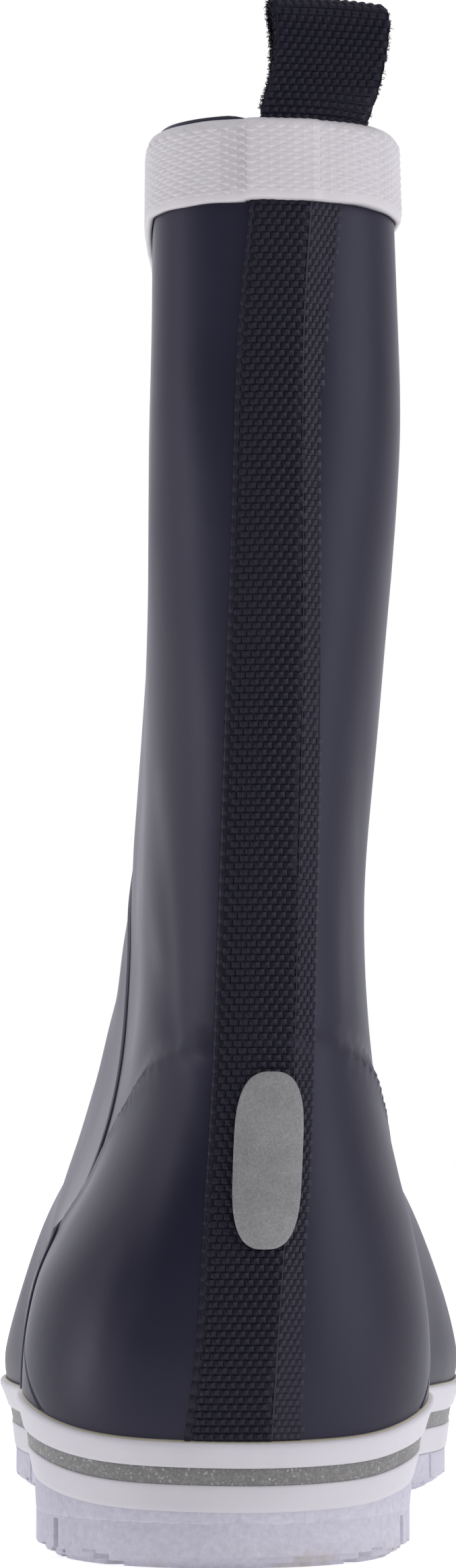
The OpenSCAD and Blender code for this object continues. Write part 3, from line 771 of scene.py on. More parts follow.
def on_back(x, z, d):
    """Places, outward directions and sideways directions on the back of the leg."""
    at = back_point(x, z, d)
    across = back_point(x + 0.2, z, d) - back_point(x - 0.2, z, d)
    across /= np.linalg.norm(across, axis=-1, keepdims=True)
    up = back_point(x, z + 0.4, d) - back_point(x, z - 0.4, d)
    facing = np.cross(across, up)
    return at, facing / np.linalg.norm(facing, axis=-1, keepdims=True), across


def edge(points, aside=0.0):
    """An edge that runs with height through the points, moved aside."""
    return lambda z: through(points, z) + aside


def staggered(left, right, across, up):
    """Staggered cell places between two edges, up to just under the strips' ends."""
    xs, zs = [], []
    for row, z in enumerate(np.arange(STRIP_LOW + 0.6, STRIP_HIGH - 0.4, up)):
        a, b = float(left(z)), float(right(z))
        first = a + across * (0.5 if row % 2 else 1.0)
        x = np.arange(first, b - 0.15 * across, across)
        xs.append(x)
        zs.append(np.full(len(x), z))
    return np.concatenate(xs), np.concatenate(zs)


STRIP_TOP, SIDE_TOP = 1.3, 1.0   # how far the strips stand off the rubber
STRIP_LOW, STRIP_HIGH = 20.2, LEG_TOP - 9    # they run on under the top band


def strip_profile(u, z):
    lip = np.where(u < 0.085, 1.0, 0.0)
    notch = 0.22 * np.exp(-(((z / 2.2) % 1 - 0.5) / 0.16) ** 2) * lip
    rounded = 0.35 * fall(0.02, 0.0, u)
    return (STRIP_TOP - 0.05) * lip + 0.82 * (1 - lip) - notch - rounded


strip_paint = navy_rubber("navy_rubber_embossed", (0.0062, 0.0058, 0.0125), (0.0088, 0.0084, 0.0165),
                          0.5, 0.26)
back_strip = dress(tape("back_strip", edge(STRIP_LEFT), edge(STRIP_RIGHT), strip_profile, 900, 48),
                   strip_paint)
BUMP_ACROSS, BUMP_UP = 1.50, 1.15
x, z = staggered(edge(STRIP_LEFT, 0.75), edge(STRIP_RIGHT), BUMP_ACROSS, BUMP_UP)
at, facing, along = on_back(x, z, STRIP_TOP)
strip_cells = cells("back_strip_bumps", at, facing, along, bump_shape(0.02),
                    (BUMP_ACROSS, BUMP_UP, 0.45), strip_paint, 0.03, 3)


def side_profile(u, z):
    margin = np.where(u < 0.05, SIDE_TOP + 0.02, np.where(u > 0.93, SIDE_TOP - 0.05, 0.66))
    return margin - 0.3 * ease(0.98, 1.0, u) + 0 * z


# The narrow strip's navy is paler than the wide strip's: partly its own tone, partly painted light
# standing in for the light that falls on it from the right.
side_paint_with_painted_light = navy_rubber("navy_rubber_fine_emboss", (0.0130, 0.0124, 0.0215), (0.0175, 0.0168, 0.0270),
                         0.48, 0.38)
side_strip = dress(tape("side_strip", edge(STRIP_RIGHT, 0.04), edge(SIDE_RIGHT), side_profile, 500, 24),
                   side_paint_with_painted_light)
FINE_ACROSS, FINE_UP = 1.10, 1.05
x, z = staggered(edge(STRIP_RIGHT, -0.2), edge(SIDE_RIGHT, 0.1), FINE_ACROSS, FINE_UP)
at, facing, along = on_back(x, z, SIDE_TOP)
side_cells = cells("side_strip_bumps", at, facing, along, bump_shape(0.0),
                   (FINE_ACROSS, FINE_UP, 0.30), side_paint_with_painted_light, 0.06, 5)
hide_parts("back_strip")
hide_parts("side_strip")
for piece in (back_strip, side_strip, strip_cells, side_cells):
    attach(piece, "boot")

# ---------------------------------------------------------------- Reflective patch
# A rounded patch of glass-bead reflective film, die cut and bonded over the strips just
# above the heel.
PATCH_Z, PATCH_LONG, PATCH_WIDE, PATCH_X, PATCH_LEAN = 64.3, 28.2, 10.4, 5.3, 0.06
around = np.linspace(0, 2 * np.pi, 96, endpoint=False)
stadium_x = np.sign(np.cos(around)) * np.abs(np.cos(around)) ** 0.72 * PATCH_WIDE / 2
stadium_z = np.sin(around) * PATCH_WIDE / 2
stadium_z += np.sign(np.sin(around)) * (PATCH_LONG - PATCH_WIDE) / 2 * np.abs(np.sin(around)) ** 0.35
PATCH_RINGS = [(1.0, 0.2), (1.0, 0.5), (0.985, 0.62), (0.95, 0.66), (0.8, 0.67), (0.6, 0.67),
               (0.4, 0.67), (0.2, 0.67), (0.02, 0.67)]
points = []
for share, rise in PATCH_RINGS:
    pz = stadium_z * share + PATCH_Z
    px = stadium_x * share + PATCH_X + PATCH_LEAN * (pz - PATCH_Z)
    points.append(back_point(px, pz, STRIP_TOP + rise))
points.append(back_point(px.mean(keepdims=True), pz.mean(keepdims=True), STRIP_TOP + 0.67))
rows, n = len(PATCH_RINGS), len(around)
faces = ring_faces(rows, n, closed=False).tolist()
faces += [((rows - 1) * n + i, (rows - 1) * n + (i + 1) % n, rows * n) for i in range(n)]
faces.append(list(range(n - 1, -1, -1)))
mesh = bpy.data.meshes.new("reflective_patch")
mesh.from_pydata((np.concatenate(points) * MM).tolist(), [], faces)
mesh.polygons.foreach_set("use_smooth", [len(f) < 5 for f in faces])
patch = bpy.data.objects.new("reflective_patch", mesh)
scene.collection.objects.link(patch)
film = Finish("reflective_film", 0.62, 0.35)
fine, blotch = film.noise(2600, 2, 0.7), film.noise(180, 4, 0.6)
tone = film.stops(blotch, (0.3, (0.205, 0.207, 0.205)), (0.72, (0.265, 0.267, 0.265)))
beads = film.stops(fine, (0.35, 0.82), (0.68, 1.12))
film.coloured(film.mixed(1.0, tone, beads, "MULTIPLY"))
film.shader["Metallic"].default_value = 0.15
dress(patch, film.bumped((fine, 0.2, 0.0001), (blotch, 0.12, 0.0003)))
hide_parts("reflective_patch")
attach(patch, "boot")

# ---------------------------------------------------------------- Top band
# A white rubber strip wound once round the leg's top edge and lapped over itself at the
# back, calendered with long shallow diamonds and left plain along its lower margin.
BAND_T = 1.2
BAND_N = 560                     # steps round the band
LAP_X = 2.6                      # where the band's end steps down at the back
LAP_RISE, WEB_RISE = 0.42, 1.0   # how far the lap and the webbing behind it lift the band


def leg_ring(z, count, n=200):
    """Even steps round the leg at height z, from the back: points, directions along, girth."""
    back, front = through(BACK_LINE, z), through(LEG_FRONT, z)
    y = back + (front - back) * (1 - np.cos(np.linspace(0, np.pi, n + 1))) / 2
    w = half_width(y, np.full_like(y, z))
    w[0] = w[-1] = 0
    m = side_shift(y, np.full_like(y, z))
    ring = np.concatenate([np.stack([m + w, y], 1), np.stack([m - w, y], 1)[-2:0:-1]])
    loop = np.concatenate([ring, ring[:1]])
    s = np.concatenate([[0], np.cumsum(np.linalg.norm(np.diff(loop, axis=0), axis=1))])
    first = np.argmin(np.where(ring[:, 1] < 0, np.abs(ring[:, 0] - LAP_X), 1e9))
    at = (s[first] + np.arange(count) * s[-1] / count) % s[-1]
    even = np.stack([np.interp(at, s, loop[:, 0]), np.interp(at, s, loop[:, 1])], 1)
    t = np.roll(even, -1, 0) - np.roll(even, 1, 0)
    return even, t / np.linalg.norm(t, axis=1, keepdims=True), s[-1]


outline, tangent, girth = leg_ring(228.0, BAND_N)
outward = np.stack([tangent[:, 1], -tangent[:, 0]], 1)
step_along = girth / BAND_N
s_mm = np.arange(BAND_N) * step_along
lap_step = fall(11.8, 10.6, s_mm) * ease(-0.3, 0.35, s_mm)
over_webbing = fall(14.5, 9.5, np.abs(outline[:, 0] - 13.3)) * (outline[:, 1] < 10)
ragged = 0.16 * np.sin(s_mm / 7.3) + 0.1 * np.sin(s_mm / 2.9 + 1) + 0.06 * np.sin(s_mm / 1.3)

lifted = LAP_RISE * lap_step + WEB_RISE * over_webbing
# The band's section: (height over the leg's top, standoff)
BAND_SECTION = [(-14.0, 0.15), (-14.0, 0.6), (-13.9, 0.95), (-13.6, 1.13), (-12.8, 1.2), (-10, 1.2),
                (-7, 1.2), (-4, 1.2), (-2.4, 1.2), (-1.4, 1.13), (-0.7, 0.92), (-0.25, 0.6),
                (-0.05, 0.2), (0.0, -0.3), (-0.05, -0.9), (-0.6, -1.2), (-3.0, 0.1)]
points = []
for h, stand in BAND_SECTION:
    base = leg_ring(LEG_TOP + h, BAND_N)[0]
    lift = stand + lifted * (min(1, stand) if stand > 0.3 else 0)
    uneven = 0.8 if h < -13.5 else 0.35 if h > -1 else 0
    points.append(np.column_stack([base + outward * lift[:, None], LEG_TOP + h + uneven * ragged]))
top_band = plain_mesh("top_band", np.concatenate(points), ring_faces(len(BAND_SECTION), BAND_N))


def pale_rubber(name, low, high, roughness, grain_depth=0.10):
    """White rubber: faint tone changes, scuffs and a fine matt skin."""
    made = Finish(name, roughness, 0.4)
    tone = made.stops(made.noise(30, 4, 0.6), (0.3, low), (0.7, high))
    marks = made.stops(made.noise(140, 5, 0.7), (0.66, 0.0), (0.74, 0.35))
    made.coloured(made.mixed(marks, tone, (0.50, 0.48, 0.47)))
    return made.bumped((made.noise(260, 3, 0.5), 0.10, 0.0005),
                       (made.noise(1300, 3, 0.65), grain_depth, 0.00015))


band_paint = pale_rubber("white_rubber_embossed", (0.50, 0.48, 0.49), (0.575, 0.555, 0.565), 0.5)
dress(top_band, band_paint)
DIAMOND_LONG, DIAMOND_HIGH = 2.62, 1.32
count = int(girth / DIAMOND_LONG)
at, facing, along = [], [], []
for row, h in enumerate(np.arange(-12.3, -1.5, DIAMOND_HIGH / 2)):
    base, t, _ = leg_ring(LEG_TOP + h, BAND_N)
    s = (np.arange(count) + (0.5 if row % 2 else 0)) * girth / count
    k = (s / step_along).astype(int) % BAND_N
    stand = BAND_T - 0.03 + lifted[k]
    at.append(np.column_stack([base[k] + outward[k] * stand[:, None], np.full(count, LEG_TOP + h)]))
    facing.append(np.column_stack([outward[k], np.zeros(count)]))
    along.append(np.column_stack([t[k], np.zeros(count)]))
diamond = cell_of("diamond", [(0.5, 0, 0), (0, 0.5, 0), (-0.5, 0, 0), (0, -0.5, 0), (0, -0.12, 1)],
                  [(0, 1, 4), (1, 2, 4), (2, 3, 4), (3, 0, 4)])
band_cells = cells("top_band_diamonds", np.concatenate(at), np.concatenate(facing), np.concatenate(along),
                   diamond, (DIAMOND_LONG * 0.98, DIAMOND_HIGH * 0.98, 0.22), band_paint, 0.05, 7)
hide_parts("top_band")
for piece in (top_band, band_cells):
    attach(piece, "boot")

# ---------------------------------------------------------------- Pull loop
# A folded length of rubberised webbing. Its outer end goes down behind the top band and its
# inner end down inside the leg; its cut edges are raw, so threads stand out of them.
WEB_T = 1.2
LOOP_TOP, LOOP_FOOT = 255.0, 240.3
LOOP_OUTER_Y, LOOP_INNER_Y = -22.8, -14.6
LOOP_TWIST, TWIST_X = math.radians(8.5), 15.8
# The webbing's edges by height, where it stands free above the leg
EDGE_LEFT = [(218, 4.8), (235.6, 5.0), (241, 6.2), (246.7, 6.8), (250.5, 6.6), (255, 6.0)]
EDGE_RIGHT = [(218, 21.6), (233, 22.2), (238.4, 23.8), (242.7, 24.8), (249.7, 25.8), (255, 25.5)]
bend_r = (LOOP_INNER_Y - LOOP_OUTER_Y - WEB_T) / 2
mid_y = (LOOP_INNER_Y + LOOP_OUTER_Y) / 2
WEB_LOW, BEND_Z = 221.5, LOOP_TOP - WEB_T / 2 - bend_r
STRAIGHT_N = 89                  # steps along each straight stretch
straight_up = np.linspace(WEB_LOW, BEND_Z, STRAIGHT_N + 1)[:-1]
turn = np.linspace(np.pi, 0, 26)
still = np.ones(STRAIGHT_N)
path_y = np.concatenate([still * (mid_y - bend_r), mid_y + bend_r * np.cos(turn),
                         still * (mid_y + bend_r)])
path_z = np.concatenate([straight_up, BEND_Z + bend_r * np.sin(turn), straight_up[::-1]])
path_side = np.concatenate([still, -np.cos(turn), -still])
path_s = np.concatenate([[0], np.cumsum(np.hypot(np.diff(path_y), np.diff(path_z)))])
WEB_LONG = path_s[-1]


def webbing(s, t):
    """The webbing's middle surface: s along it in millimetres, t from its left edge (0) to 1."""
    s, t = np.asarray(s, float), np.asarray(t, float)
    y, z = np.interp(s, path_s, path_y), np.interp(s, path_s, path_z)
    side = np.interp(s, path_s, path_side)
    left, right = through(EDGE_LEFT, z), through(EDGE_RIGHT, z)
    squeeze = 0.5 * (1 - side) * 0.6
    x = left + squeeze + (right - left - 1.4 * squeeze) * t
    depth = np.where(side > 0, 0.95, -LINING_IN - 1.9 - WEB_T / 2 - 0.4)
    on_leg = back_point(x, np.minimum(z, LEG_TOP), depth)
    free = ease(LEG_TOP - 1.0, LOOP_FOOT, z)
    sag = 0.55 * np.sin(np.pi * np.clip((z - LEG_TOP) / 20, 0, 1)) * side
    y = on_leg[..., 1] * (1 - free) + (y + sag) * free
    turned = LOOP_TWIST * ease(LEG_TOP, LEG_TOP + 13, z)
    dx, dy = x - TWIST_X, y - mid_y
    crown = 0.5 * np.sin(np.pi * t) * ease(250, 255, z)
    return np.stack([TWIST_X + dx * np.cos(turned) - dy * np.sin(turned),
                     mid_y + dx * np.sin(turned) + dy * np.cos(turned), z + crown], -1)


def webbing_frame(s, t):
    """Places on the webbing, with their outward and crosswise directions."""
    at = webbing(s, t)
    across = webbing(s, t + 0.02) - webbing(s, t - 0.02)
    ahead = webbing(s + 0.3, t) - webbing(s - 0.3, t)
    across /= np.linalg.norm(across, axis=-1, keepdims=True)
    facing = np.cross(across, ahead)
    return at, facing / np.linalg.norm(facing, axis=-1, keepdims=True), across


s_grid, t_grid = np.meshgrid(np.linspace(0, WEB_LONG, 330), np.linspace(0, 1, 30), indexing="ij")
CELL, CELL_UP = 1.46, 1.15
scallop = 0.16 * np.abs(np.sin(np.pi * s_grid / (2 * CELL_UP))) / 18
t_grid = np.where(t_grid == 0, -scallop, np.where(t_grid == 1, 1 + scallop, t_grid))
at, facing, _ = webbing_frame(s_grid, t_grid)
pull_loop = slab("pull_loop", at + facing * (WEB_T / 2 - 0.34), at - facing * (WEB_T / 2 - 0.06), True)
weave = Finish("navy_webbing", 0.55, 0.22, BLUE_SHEEN)
tone = weave.stops(weave.noise(90, 4, 0.6), (0.3, (0.0045, 0.0042, 0.0105)),
                   (0.75, (0.0070, 0.0067, 0.0140)))
speck = weave.stops(weave.dots(420)["Distance"], (0.0, 0.35), (0.05, 0.0))
weave.coloured(weave.mixed(speck, tone, (0.24, 0.24, 0.28)))
web_paint = weave.bumped((weave.noise(2400, 3, 0.6), 0.28, 0.00018))
dress(pull_loop, web_paint)
places_s, places_t = [], []
for row, s in enumerate(np.arange(0.8, WEB_LONG - 0.6, CELL_UP)):
    height = np.interp(s, path_s, path_z)
    width = float(through(EDGE_RIGHT, height) - through(EDGE_LEFT, height))
    t = np.arange(0.55 + (0.5 * CELL if row % 2 else 0), width - 0.3, CELL) / width
    places_s.append(np.full(len(t), s))
    places_t.append(t)
s, t = np.concatenate(places_s), np.concatenate(places_t)
at, facing, across = webbing_frame(s, t)
web_cells = cells("pull_loop_bumps", at + facing * (WEB_T / 2 + 0.05), facing, across,
                  bump_shape(0.02), (CELL, CELL_UP, 0.45), web_paint, 0.04, 11)


def stub(name, rings):
    """A short bent thread, square in section, from rings of four corners."""
    last = 4 * (len(rings) - 1)
    faces = [(a + i, a + (i + 1) % 4, a + 4 + (i + 1) % 4, a + 4 + i)
             for a in range(0, last, 4) for i in range(4)]
    faces += [(3, 2, 1, 0), (last, last + 1, last + 2, last + 3)]
    return cell_of(name, [corner for ring in rings for corner in ring], faces)


def loose_thread(bends):
    """A stub of loose thread, one unit long, thinner towards its end."""
    rings = []
    for k, (x, y, z) in enumerate(bends):
        r = 0.07 * (1 - 0.5 * k / len(bends))
        rings.append([(x - r, y - r, z), (x + r, y - r, z), (x + r, y + r, z), (x - r, y + r, z)])
    return stub("thread", rings)


draw = np.random.default_rng(21)
tufts = []
THREADS = 420                    # of each of the three shapes
for k, bends in enumerate(([(0, 0, 0), (0.1, 0.05, 0.45), (0.35, 0.1, 0.8), (0.75, 0.1, 0.9)],
                           [(0, 0, 0), (-0.1, 0.1, 0.4), (-0.05, 0.3, 0.75), (0.2, 0.55, 0.8)],
                           [(0, 0, 0), (0.05, -0.1, 0.5), (-0.15, -0.3, 0.85), (-0.5, -0.35, 0.8)])):
    s = draw.uniform(14.5, WEB_LONG - 14, THREADS)
    left = draw.random(THREADS) < 0.8
    at, facing, across = webbing_frame(s, np.where(left, 0.0, 1.0))
    off = draw.uniform(-0.5, 0.3, THREADS)
    aside = np.where(left[:, None], -across, across)
    upward = aside + draw.normal(0, 0.45, (THREADS, 3))
    upward /= np.linalg.norm(upward, axis=1, keepdims=True)
    spin = np.cross(upward, facing + draw.normal(0, 0.5, (THREADS, 3)))
    tufts.append(cells("pull_loop_threads_%d" % (k + 1), at + facing * off[:, None] - aside * 0.12,
                       upward, spin, loose_thread(bends), (0.55, 0.55, 0.62), web_paint, 0.45,
                       31 + k, True))

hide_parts("pull_loop", "loop_outer_end", "loop_inner_end")
for piece in (pull_loop, web_cells, *tufts):
    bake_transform(piece)

# ---------------------------------------------------------------- Bands round the sole
# Three extruded rubber strips wound round the lasted boot and cemented on: a plain white
# upper one with a glue line along its top, a grey one with glitter, and a white lower one.
def sole_outline(height_at, n=560):
    """Closed ring of even steps round the boot at a height that follows the length."""
    y = HEEL_Y + (TOE_Y + 0.38 - HEEL_Y) * (1 - np.cos(np.linspace(0, np.pi, 1201))) / 2
    z = height_at(y)
    w = half_width(y, z)
    w[0] = w[-1] = 0
    m = side_shift(y, z)
    right, left = np.stack([m + w, y], 1), np.stack([m - w, y], 1)
    loop = np.concatenate([right, left[-2::-1]])
    s = np.concatenate([[0], np.cumsum(np.linalg.norm(np.diff(loop, axis=0), axis=1))])
    at = np.arange(n) * s[-1] / n
    ring_y = np.interp(at, s, loop[:, 1])
    return np.column_stack([np.interp(at, s, loop[:, 0]), ring_y, height_at(ring_y)])


def ring_outward(ring):
    t = np.roll(ring, -1, 0)[:, :2] - np.roll(ring, 1, 0)[:, :2]
    t /= np.maximum(np.linalg.norm(t, axis=1, keepdims=True), 1e-9)
    return np.stack([t[:, 1], -t[:, 0], np.zeros(len(t))], 1)


def beside_heel(y):
    return ease(HEEL_Y, 2, y) * fall(110, 20, y)


def stripe_low(y):
    return 13.2 - 1.3 * ease(40, 120, y) + 4.2 * beside_heel(y)


def stripe_high(y):
    return 16.1 - 1.0 * ease(40, 120, y) + 4.1 * beside_heel(y)


def foxing_top(y):
    return 19.9 + 0.2 * ease(40, 120, y) + 5.8 * beside_heel(y)


def sole_top(y):
    return 9.3 - 1.9 * ease(40, 120, y) + 3.4 * beside_heel(y)


def wound_strip(name, section):
    """A strip round the sole; section lists (height function, rise over it, standoff)."""
    points = []
    for height_at, rise, stand in section:
        ring = sole_outline(lambda y: height_at(y) + rise)
        wave = (0.10 * np.sin(ring[:, 0] / 7.7 + ring[:, 1] / 11.3)
                + 0.05 * np.sin(ring[:, 1] / 3.9 + ring[:, 0] / 5.1))
        ring = ring + ring_outward(ring) * stand
        ring[:, 2] += wave
        points.append(ring)
    return plain_mesh(name, np.concatenate(points), ring_faces(len(section), len(ring)))


foxing_upper = wound_strip("foxing_upper", [
    (stripe_high, 0.1, 0.1), (stripe_high, -0.12, 0.6), (stripe_high, -0.1, 0.9),
    (stripe_high, 0.2, 1.08), (stripe_high, 0.8, 1.15), (foxing_top, -2.2, 1.45),
    (foxing_top, -0.9, 1.75), (foxing_top, -0.35, 1.70), (foxing_top, 0.0, 1.4),
    (foxing_top, 0.1, 1.0), (foxing_top, 0.0, 0.55), (foxing_top, -1.2, 0.2)])
glue_line = wound_strip("glue_line", [
    (foxing_top, -0.2, 0.5), (foxing_top, -0.15, 1.25), (foxing_top, 0.12, 1.2),
    (foxing_top, 0.3, 0.85), (foxing_top, 0.42, 0.4), (foxing_top, 0.2, 0.2)])
foxing_stripe = wound_strip("foxing_stripe", [
    (stripe_low, -0.3, 0.1), (stripe_low, -0.3, 0.62), (stripe_low, 0.4, 0.68),
    (stripe_high, -0.4, 0.68), (stripe_high, 0.2, 0.6), (stripe_high, 0.2, 0.1)])
foxing_lower = wound_strip("foxing_lower", [
    (sole_top, -0.3, -0.2), (sole_top, -0.3, 0.30), (sole_top, 0.1, 0.48), (sole_top, 0.8, 0.62),
    (stripe_low, -1.2, 0.86), (stripe_low, -0.35, 0.92), (stripe_low, -0.02, 0.84),
    (stripe_low, 0.08, 0.6), (stripe_low, 0.0, 0.0)])
foxing_paint = pale_rubber("white_foxing_rubber", (0.50, 0.485, 0.51), (0.565, 0.55, 0.575), 0.48, 0.05)
dress(foxing_upper, foxing_paint)
dress(foxing_lower, foxing_paint)
dress(glue_line, pale_rubber("dried_latex_glue", (0.30, 0.275, 0.20), (0.44, 0.41, 0.32), 0.4, 0.1))
glitter = Finish("grey_glitter_rubber", 0.5, 0.4)
flakes = glitter.dots(3000)
glitter.coloured(glitter.stops(flakes["Color"], (0.35, (0.150, 0.148, 0.142)), (0.8, (0.21, 0.207, 0.20)),
                               (0.95, (0.36, 0.36, 0.35))))
dress(foxing_stripe, glitter.bumped((flakes["Distance"], 0.3, 0.0001)))
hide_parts("foxing_upper")
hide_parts("foxing_stripe")
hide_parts("foxing_lower")
for piece in (foxing_upper, glue_line, foxing_lower, foxing_stripe):
    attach(piece, "boot")

# ---------------------------------------------------------------- Outsole
# A flat deck sole moulded from white rubber, with cross grooves underneath and V notches
# up its side walls. The mould leaves its corners slightly rounded.
cad_sole = next(piece for piece in bpy.data.objects if piece.get("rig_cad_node") == "outsole")
work = bmesh.new()
work.from_mesh(cad_sole.data)
bmesh.ops.remove_doubles(work, verts=work.verts, dist=2e-6)
bmesh.ops.dissolve_limit(work, angle_limit=math.radians(1), verts=work.verts, edges=work.edges)
mesh = bpy.data.meshes.new("outsole_moulded")
work.to_mesh(mesh)
work.free()
outsole = bpy.data.objects.new("outsole_moulded", mesh)
scene.collection.objects.link(outsole)
soft_edge = outsole.modifiers.new("rounded", "BEVEL")
soft_edge.width = 0.55 * MM
soft_edge.segments = 2
soft_edge.limit_method = "ANGLE"
soft_edge.angle_limit = math.radians(35)
settled(outsole)
outsole.data.polygons.foreach_set("use_smooth", [True] * len(outsole.data.polygons))
outsole.data.set_sharp_from_angle(angle=math.radians(38))


def level(y):
    return np.zeros_like(y)


outsole_rim = wound_strip("outsole_rim", [
    (level, 6.9, -1.2), (level, 7.1, 0.1), (level, 7.5, 0.24), (level, 8.3, 0.30),
    (sole_top, -0.4, 0.34), (sole_top, 0.1, 0.2), (sole_top, 0.2, -0.4), (level, 8.0, -1.2)])
deck = Finish("white_deck_rubber", 0.62, 0.35)
tone = deck.stops(deck.noise(26, 4, 0.6), (0.3, (0.465, 0.452, 0.525)), (0.7, (0.535, 0.52, 0.59)))
fine, soil = deck.noise(900, 4, 0.7), deck.noise(95, 5, 0.65)
colour = deck.mixed(1.0, tone, deck.stops(fine, (0.3, 0.86), (0.7, 1.06)), "MULTIPLY")
split = deck.nodes.new("ShaderNodeSeparateXYZ")
deck.link(deck.place, split.inputs[0])
low_down = deck.nodes.new("ShaderNodeMapRange")
low_down.inputs["From Min"].default_value = 0.004
low_down.inputs["From Max"].default_value = -0.0005
deck.link(split.outputs["Z"], low_down.inputs["Value"])
soiled = deck.stops(soil, (0.50, 0.0), (0.68, 0.75))
share = deck.mixed(1.0, soiled, low_down.outputs["Result"], "MULTIPLY")
deck.coloured(deck.mixed(share, colour, (0.36, 0.32, 0.24)))
sole_paint = deck.bumped((fine, 0.35, 0.00022), (soil, 0.2, 0.0004))
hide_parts("outsole")
for piece in (outsole, outsole_rim):
    dress(piece, sole_paint)
    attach(piece, "boot")

# ---------------------------------------------------------------- Toe bumper
# A crescent of the same navy rubber cemented over the toe above the bands, where the boot
# wears first. Its edge is skived thin.
TOE_EDGE = [(168, 21.2), (172, 24.5), (178, 32.5), (187, 37.4), (200, 39)]
toe_lengths = np.append(steps((169, 188, 0.8), (188, 197.2, 0.4)), TOE_END)
top_at = np.minimum(through(TOE_EDGE, toe_lengths), through(FOOT_TOP, toe_lengths))
toe_starts = np.stack([toe_lengths, through(FOOT_TOP, toe_lengths)], 1)
toe_ends = np.stack([toe_lengths, np.full_like(toe_lengths, SOLE_Z)], 1)
whole = toe_starts[:, 1] - toe_ends[:, 1]
top_share = np.maximum(0, (toe_starts[:, 1] - top_at) / whole)
low_share = np.minimum(0.97, (toe_starts[:, 1] - 17.5) / whole)
toe_cap = skin("toe_cap", toe_starts, toe_ends, top_share, low_share, 0, columns=46)


def toe_cap_height(x, y, z):
    inside = np.minimum(through(TOE_EDGE, y) - z, (y - 169) * 0.8)
    return VAMP_T + 0.08 + waviness(x, y, z) * ease(12, 30, z) + 0.85 * ease(0.0, 1.6, inside)


raise_skin(toe_cap, toe_cap_height)
toe_cap = thicken(toe_cap, 0.5)
dress(toe_cap, navy_rubber("navy_rubber_toe", NAVY_DEEP, NAVY_PALE, 0.5))
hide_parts("toe_cap")
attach(toe_cap, "boot")

# ---------------------------------------------------------------- Lining
# A knitted cotton tube, bonded inside the rubber: one part for the leg and one for the
# foot, joined in a seam over the ankle.
def lining_depth(y, z):
    counter = fall(86, 76, z + 0.9 * np.maximum(0, y + 12)) * fall(36, 26, y)
    puff = ease(146, 156, y)
    return np.maximum(counter, puff) * 1.5


def knit(name, low, high):
    """Jersey knit: fine wales and courses on the lining's own surface."""
    made = Finish(name, 0.9, 0.2)
    stretch = made.nodes.new("ShaderNodeMapping")
    stretch.inputs["Scale"].default_value = (1.0, 1.0, 0.62)
    made.link(made.place, stretch.inputs["Vector"])
    loops = made.dots(900, stretch.outputs[0])["Distance"]
    tone = made.stops(made.noise(60, 4, 0.6), (0.3, low), (0.7, high))
    shade = made.stops(loops, (0.0, 1.1), (0.8, 0.6))
    made.coloured(made.mixed(1.0, tone, shade, "MULTIPLY"))
    made.shader["Sheen Weight"].default_value = 0.3
    return made.bumped((loops, 0.5, 0.0003), (made.ribs(210, 0.6), 0.3, 0.0003))


knit_paint = knit("grey_cotton_knit", (0.20, 0.205, 0.225), (0.27, 0.275, 0.295))
LINING_SPLIT_Y, LINING_SPLIT_Z = 10, -2
LINING_UNDER = 5.6               # the lining's lower edge over the rubber's
lining_levels = np.append([LEG_TOP], steps((LEG_TOP - 3, LEG_LOW, -4)))
lining_angles = steps((0, 36, 1.6), (36, 44, 0.8), (44, 90, 1.8))
lining_lengths = steps((118, 186, 4.0), (186, 196.5, 1.5))
starts, ends = section_rays(LINING_UNDER, lining_levels, lining_angles, lining_lengths)
share = share_at_seam(starts, ends, LINING_SPLIT_Y, LINING_SPLIT_Z)
closed = reaches_back(lining_levels, lining_angles, lining_lengths)


def lining_height(x, y, z):
    return -(LINING_OUT + 0.05 + lining_depth(y, z)) + 0.08 * np.sin(z / 7) * np.sin(x / 5)


for name, keep, a, b, shut, cut, area, rubber in (
        ("leg_lining", share < 0.985, share, np.ones_like(share), closed, (0.31, 0.235), 0.045,
         "leg_shell"),
        ("foot_lining", share > 0.004, np.zeros_like(share), share, 0 * closed, (0.24, 0.17), 0.028,
         "vamp")):
    layer = skin(name, starts[keep], ends[keep], a[keep], b[keep], shut[keep], columns=44, merge=0.05)
    raise_skin(layer, lining_height)
    layer = thicken(layer, LINING_T - 0.1)
    dress(layer, knit_paint)
    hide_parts(name)
    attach(layer, "boot")

# ---------------------------------------------------------------- Facing inside the mouth
# A woven tape bonded round the inside of the leg's top edge, with a row of stitches along
# its lower side.
starts, ends = section_rays(0, np.arange(LEG_TOP, LEG_TOP - 14.5, -1.0), [], [])
collar = skin("collar_facing", starts, ends, 0, 1, 1)
raise_skin(collar, lambda x, y, z: -(LINING_IN + 0.05) + 0 * z)
collar = thicken(collar, 0.75)
woven = Finish("woven_tape", 0.85, 0.25)
slow = woven.noise(150, 4, 0.6)
woven.coloured(woven.stops(slow, (0.3, (0.020, 0.020, 0.032)), (0.7, (0.032, 0.032, 0.046))))
tape_paint = woven.bumped((woven.ribs(320), 0.5, 0.0003), (slow, 0.2, 0.0003))
dress(collar, tape_paint)
STITCHES, STITCH_Z = 96, LEG_TOP - 12.2
inner, t, _ = leg_ring(STITCH_Z, STITCHES)
inward = np.stack([-t[:, 1], t[:, 0], np.zeros(STITCHES)], 1)
at = np.column_stack([inner, np.full(STITCHES, STITCH_Z)]) + inward * (LINING_IN + 0.82)
bends = [(-0.5, -0.25), (-0.35, 0.2), (0, 0.32), (0.35, 0.2), (0.5, -0.25)]
stitch = stub("stitch", [[(x, -0.12, z - 0.1), (x, 0.12, z - 0.1), (x, 0.12, z + 0.12),
                          (x, -0.12, z + 0.12)] for x, z in bends])
thread = Finish("navy_thread", 0.7, 0.3)
strand = thread.noise(1800, 2, 0.5)
thread.coloured(thread.stops(strand, (0.3, (0.03, 0.03, 0.05)), (0.7, (0.06, 0.06, 0.085))))
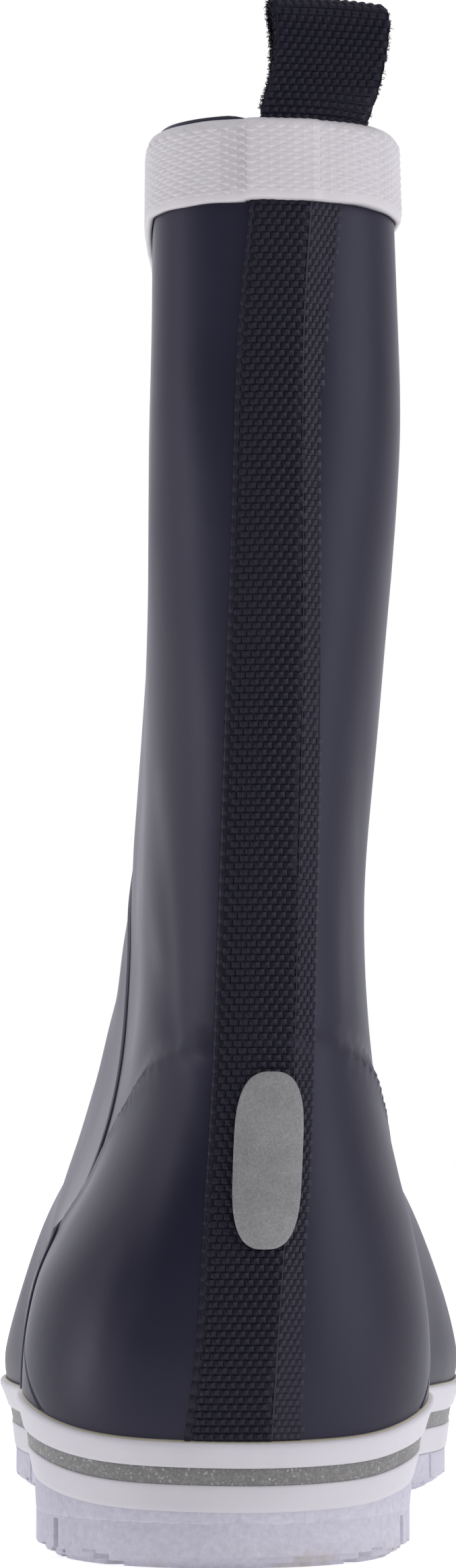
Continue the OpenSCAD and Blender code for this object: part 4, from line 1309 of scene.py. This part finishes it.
stitches = cells("collar_stitches", at, inward, np.column_stack([t, np.zeros(STITCHES)]), stitch,
                 (2.1, 2.0, 0.6), thread.material, 0.05, 41, True)
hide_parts("collar_facing")
for piece in (collar, stitches):
    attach(piece, "boot")

# ---------------------------------------------------------------- Footbed
# ---------------------------------------------------------------- Footbed
# A loose insole of soft foam under a knitted top, dished at the heel and rounded along its
# edge. It lies on the lining and lifts by its heel.
bed_low, bed_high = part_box("footbed")
bed_base, bed_top = bed_low.z / MM, bed_high.z / MM
BED_INSET, BED_RINGS = 9.3, 16   # distance inside the boot's outline; rings from the edge inward
rim = sole_outline(lambda y: np.full_like(y, SOLE_Z + 3), 220)
rim = rim - ring_outward(rim) * BED_INSET
count = len(rim)
spine_y = np.clip((rim[:, 1] + rim[-np.arange(count) % count, 1]) / 2, 4, 160)
spine = np.column_stack([through([(-20, 0.5), (60, 4), (186, 12)], spine_y), spine_y, rim[:, 2]])
top, under = [], []
for k in np.linspace(0, 1, BED_RINGS):
    ring = rim + (spine - rim) * k
    inset = np.linalg.norm((ring - rim)[:, :2], axis=1)
    crown = 0.55 * fall(1.5, 0, inset)
    dish = 0.6 * np.exp(-(ring[:, 1] / 22) ** 2) * np.exp(-((ring[:, 0] - 1) / 14) ** 2)
    top.insert(0, np.column_stack([ring[:, :2], bed_top - crown - dish]))
    under.append(np.column_stack([ring[:, :2], bed_base + 0.45 * fall(1.2, 0, inset)]))
footbed = plain_mesh("footbed", np.concatenate(top + under), ring_faces(2 * BED_RINGS, count, False),
                     merge=0.01)
work = bmesh.new()
work.from_mesh(footbed.data)
bmesh.ops.holes_fill(work, edges=[e for e in work.edges if e.is_boundary], sides=0)
bmesh.ops.recalc_face_normals(work, faces=work.faces)
work.to_mesh(footbed.data)
work.free()
dress(footbed, knit("footbed_top_cloth", (0.060, 0.064, 0.080), (0.095, 0.10, 0.12)))
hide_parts("footbed")
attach(footbed, "footbed")

# ---------------------------------------------------------------- Hidden inner parts
# The board, filler, stiffeners and seam tape keep their plain shapes: they are sealed
# between the rubber, the lining and the sole.
def plain_stock(name, low, high, scale, roughness):
    made = Finish(name, roughness, 0.3)
    fibres = made.noise(scale, 5, 0.65)
    made.coloured(made.stops(fibres, (0.3, low), (0.7, high)))
    return made.bumped((fibres, 0.3, 0.0003))


board_paint = plain_stock("pressed_fibre_board", (0.30, 0.22, 0.13), (0.42, 0.32, 0.20), 700, 0.85)
stiff_paint = plain_stock("stiffener_board", (0.10, 0.10, 0.11), (0.16, 0.16, 0.17), 500, 0.7)
foam_paint = plain_stock("filler_foam", (0.32, 0.32, 0.31), (0.44, 0.44, 0.42), 1200, 0.9)
inner_paints = {"insole_board": board_paint, "heel_counter": stiff_paint, "toe_puff": stiff_paint,
                "bottom_filler": foam_paint, "lining_seam_tape": tape_paint}
for candidate in bpy.data.objects:
    if candidate.get("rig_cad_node") in inner_paints:
        dress(candidate, inner_paints[candidate["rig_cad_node"]])
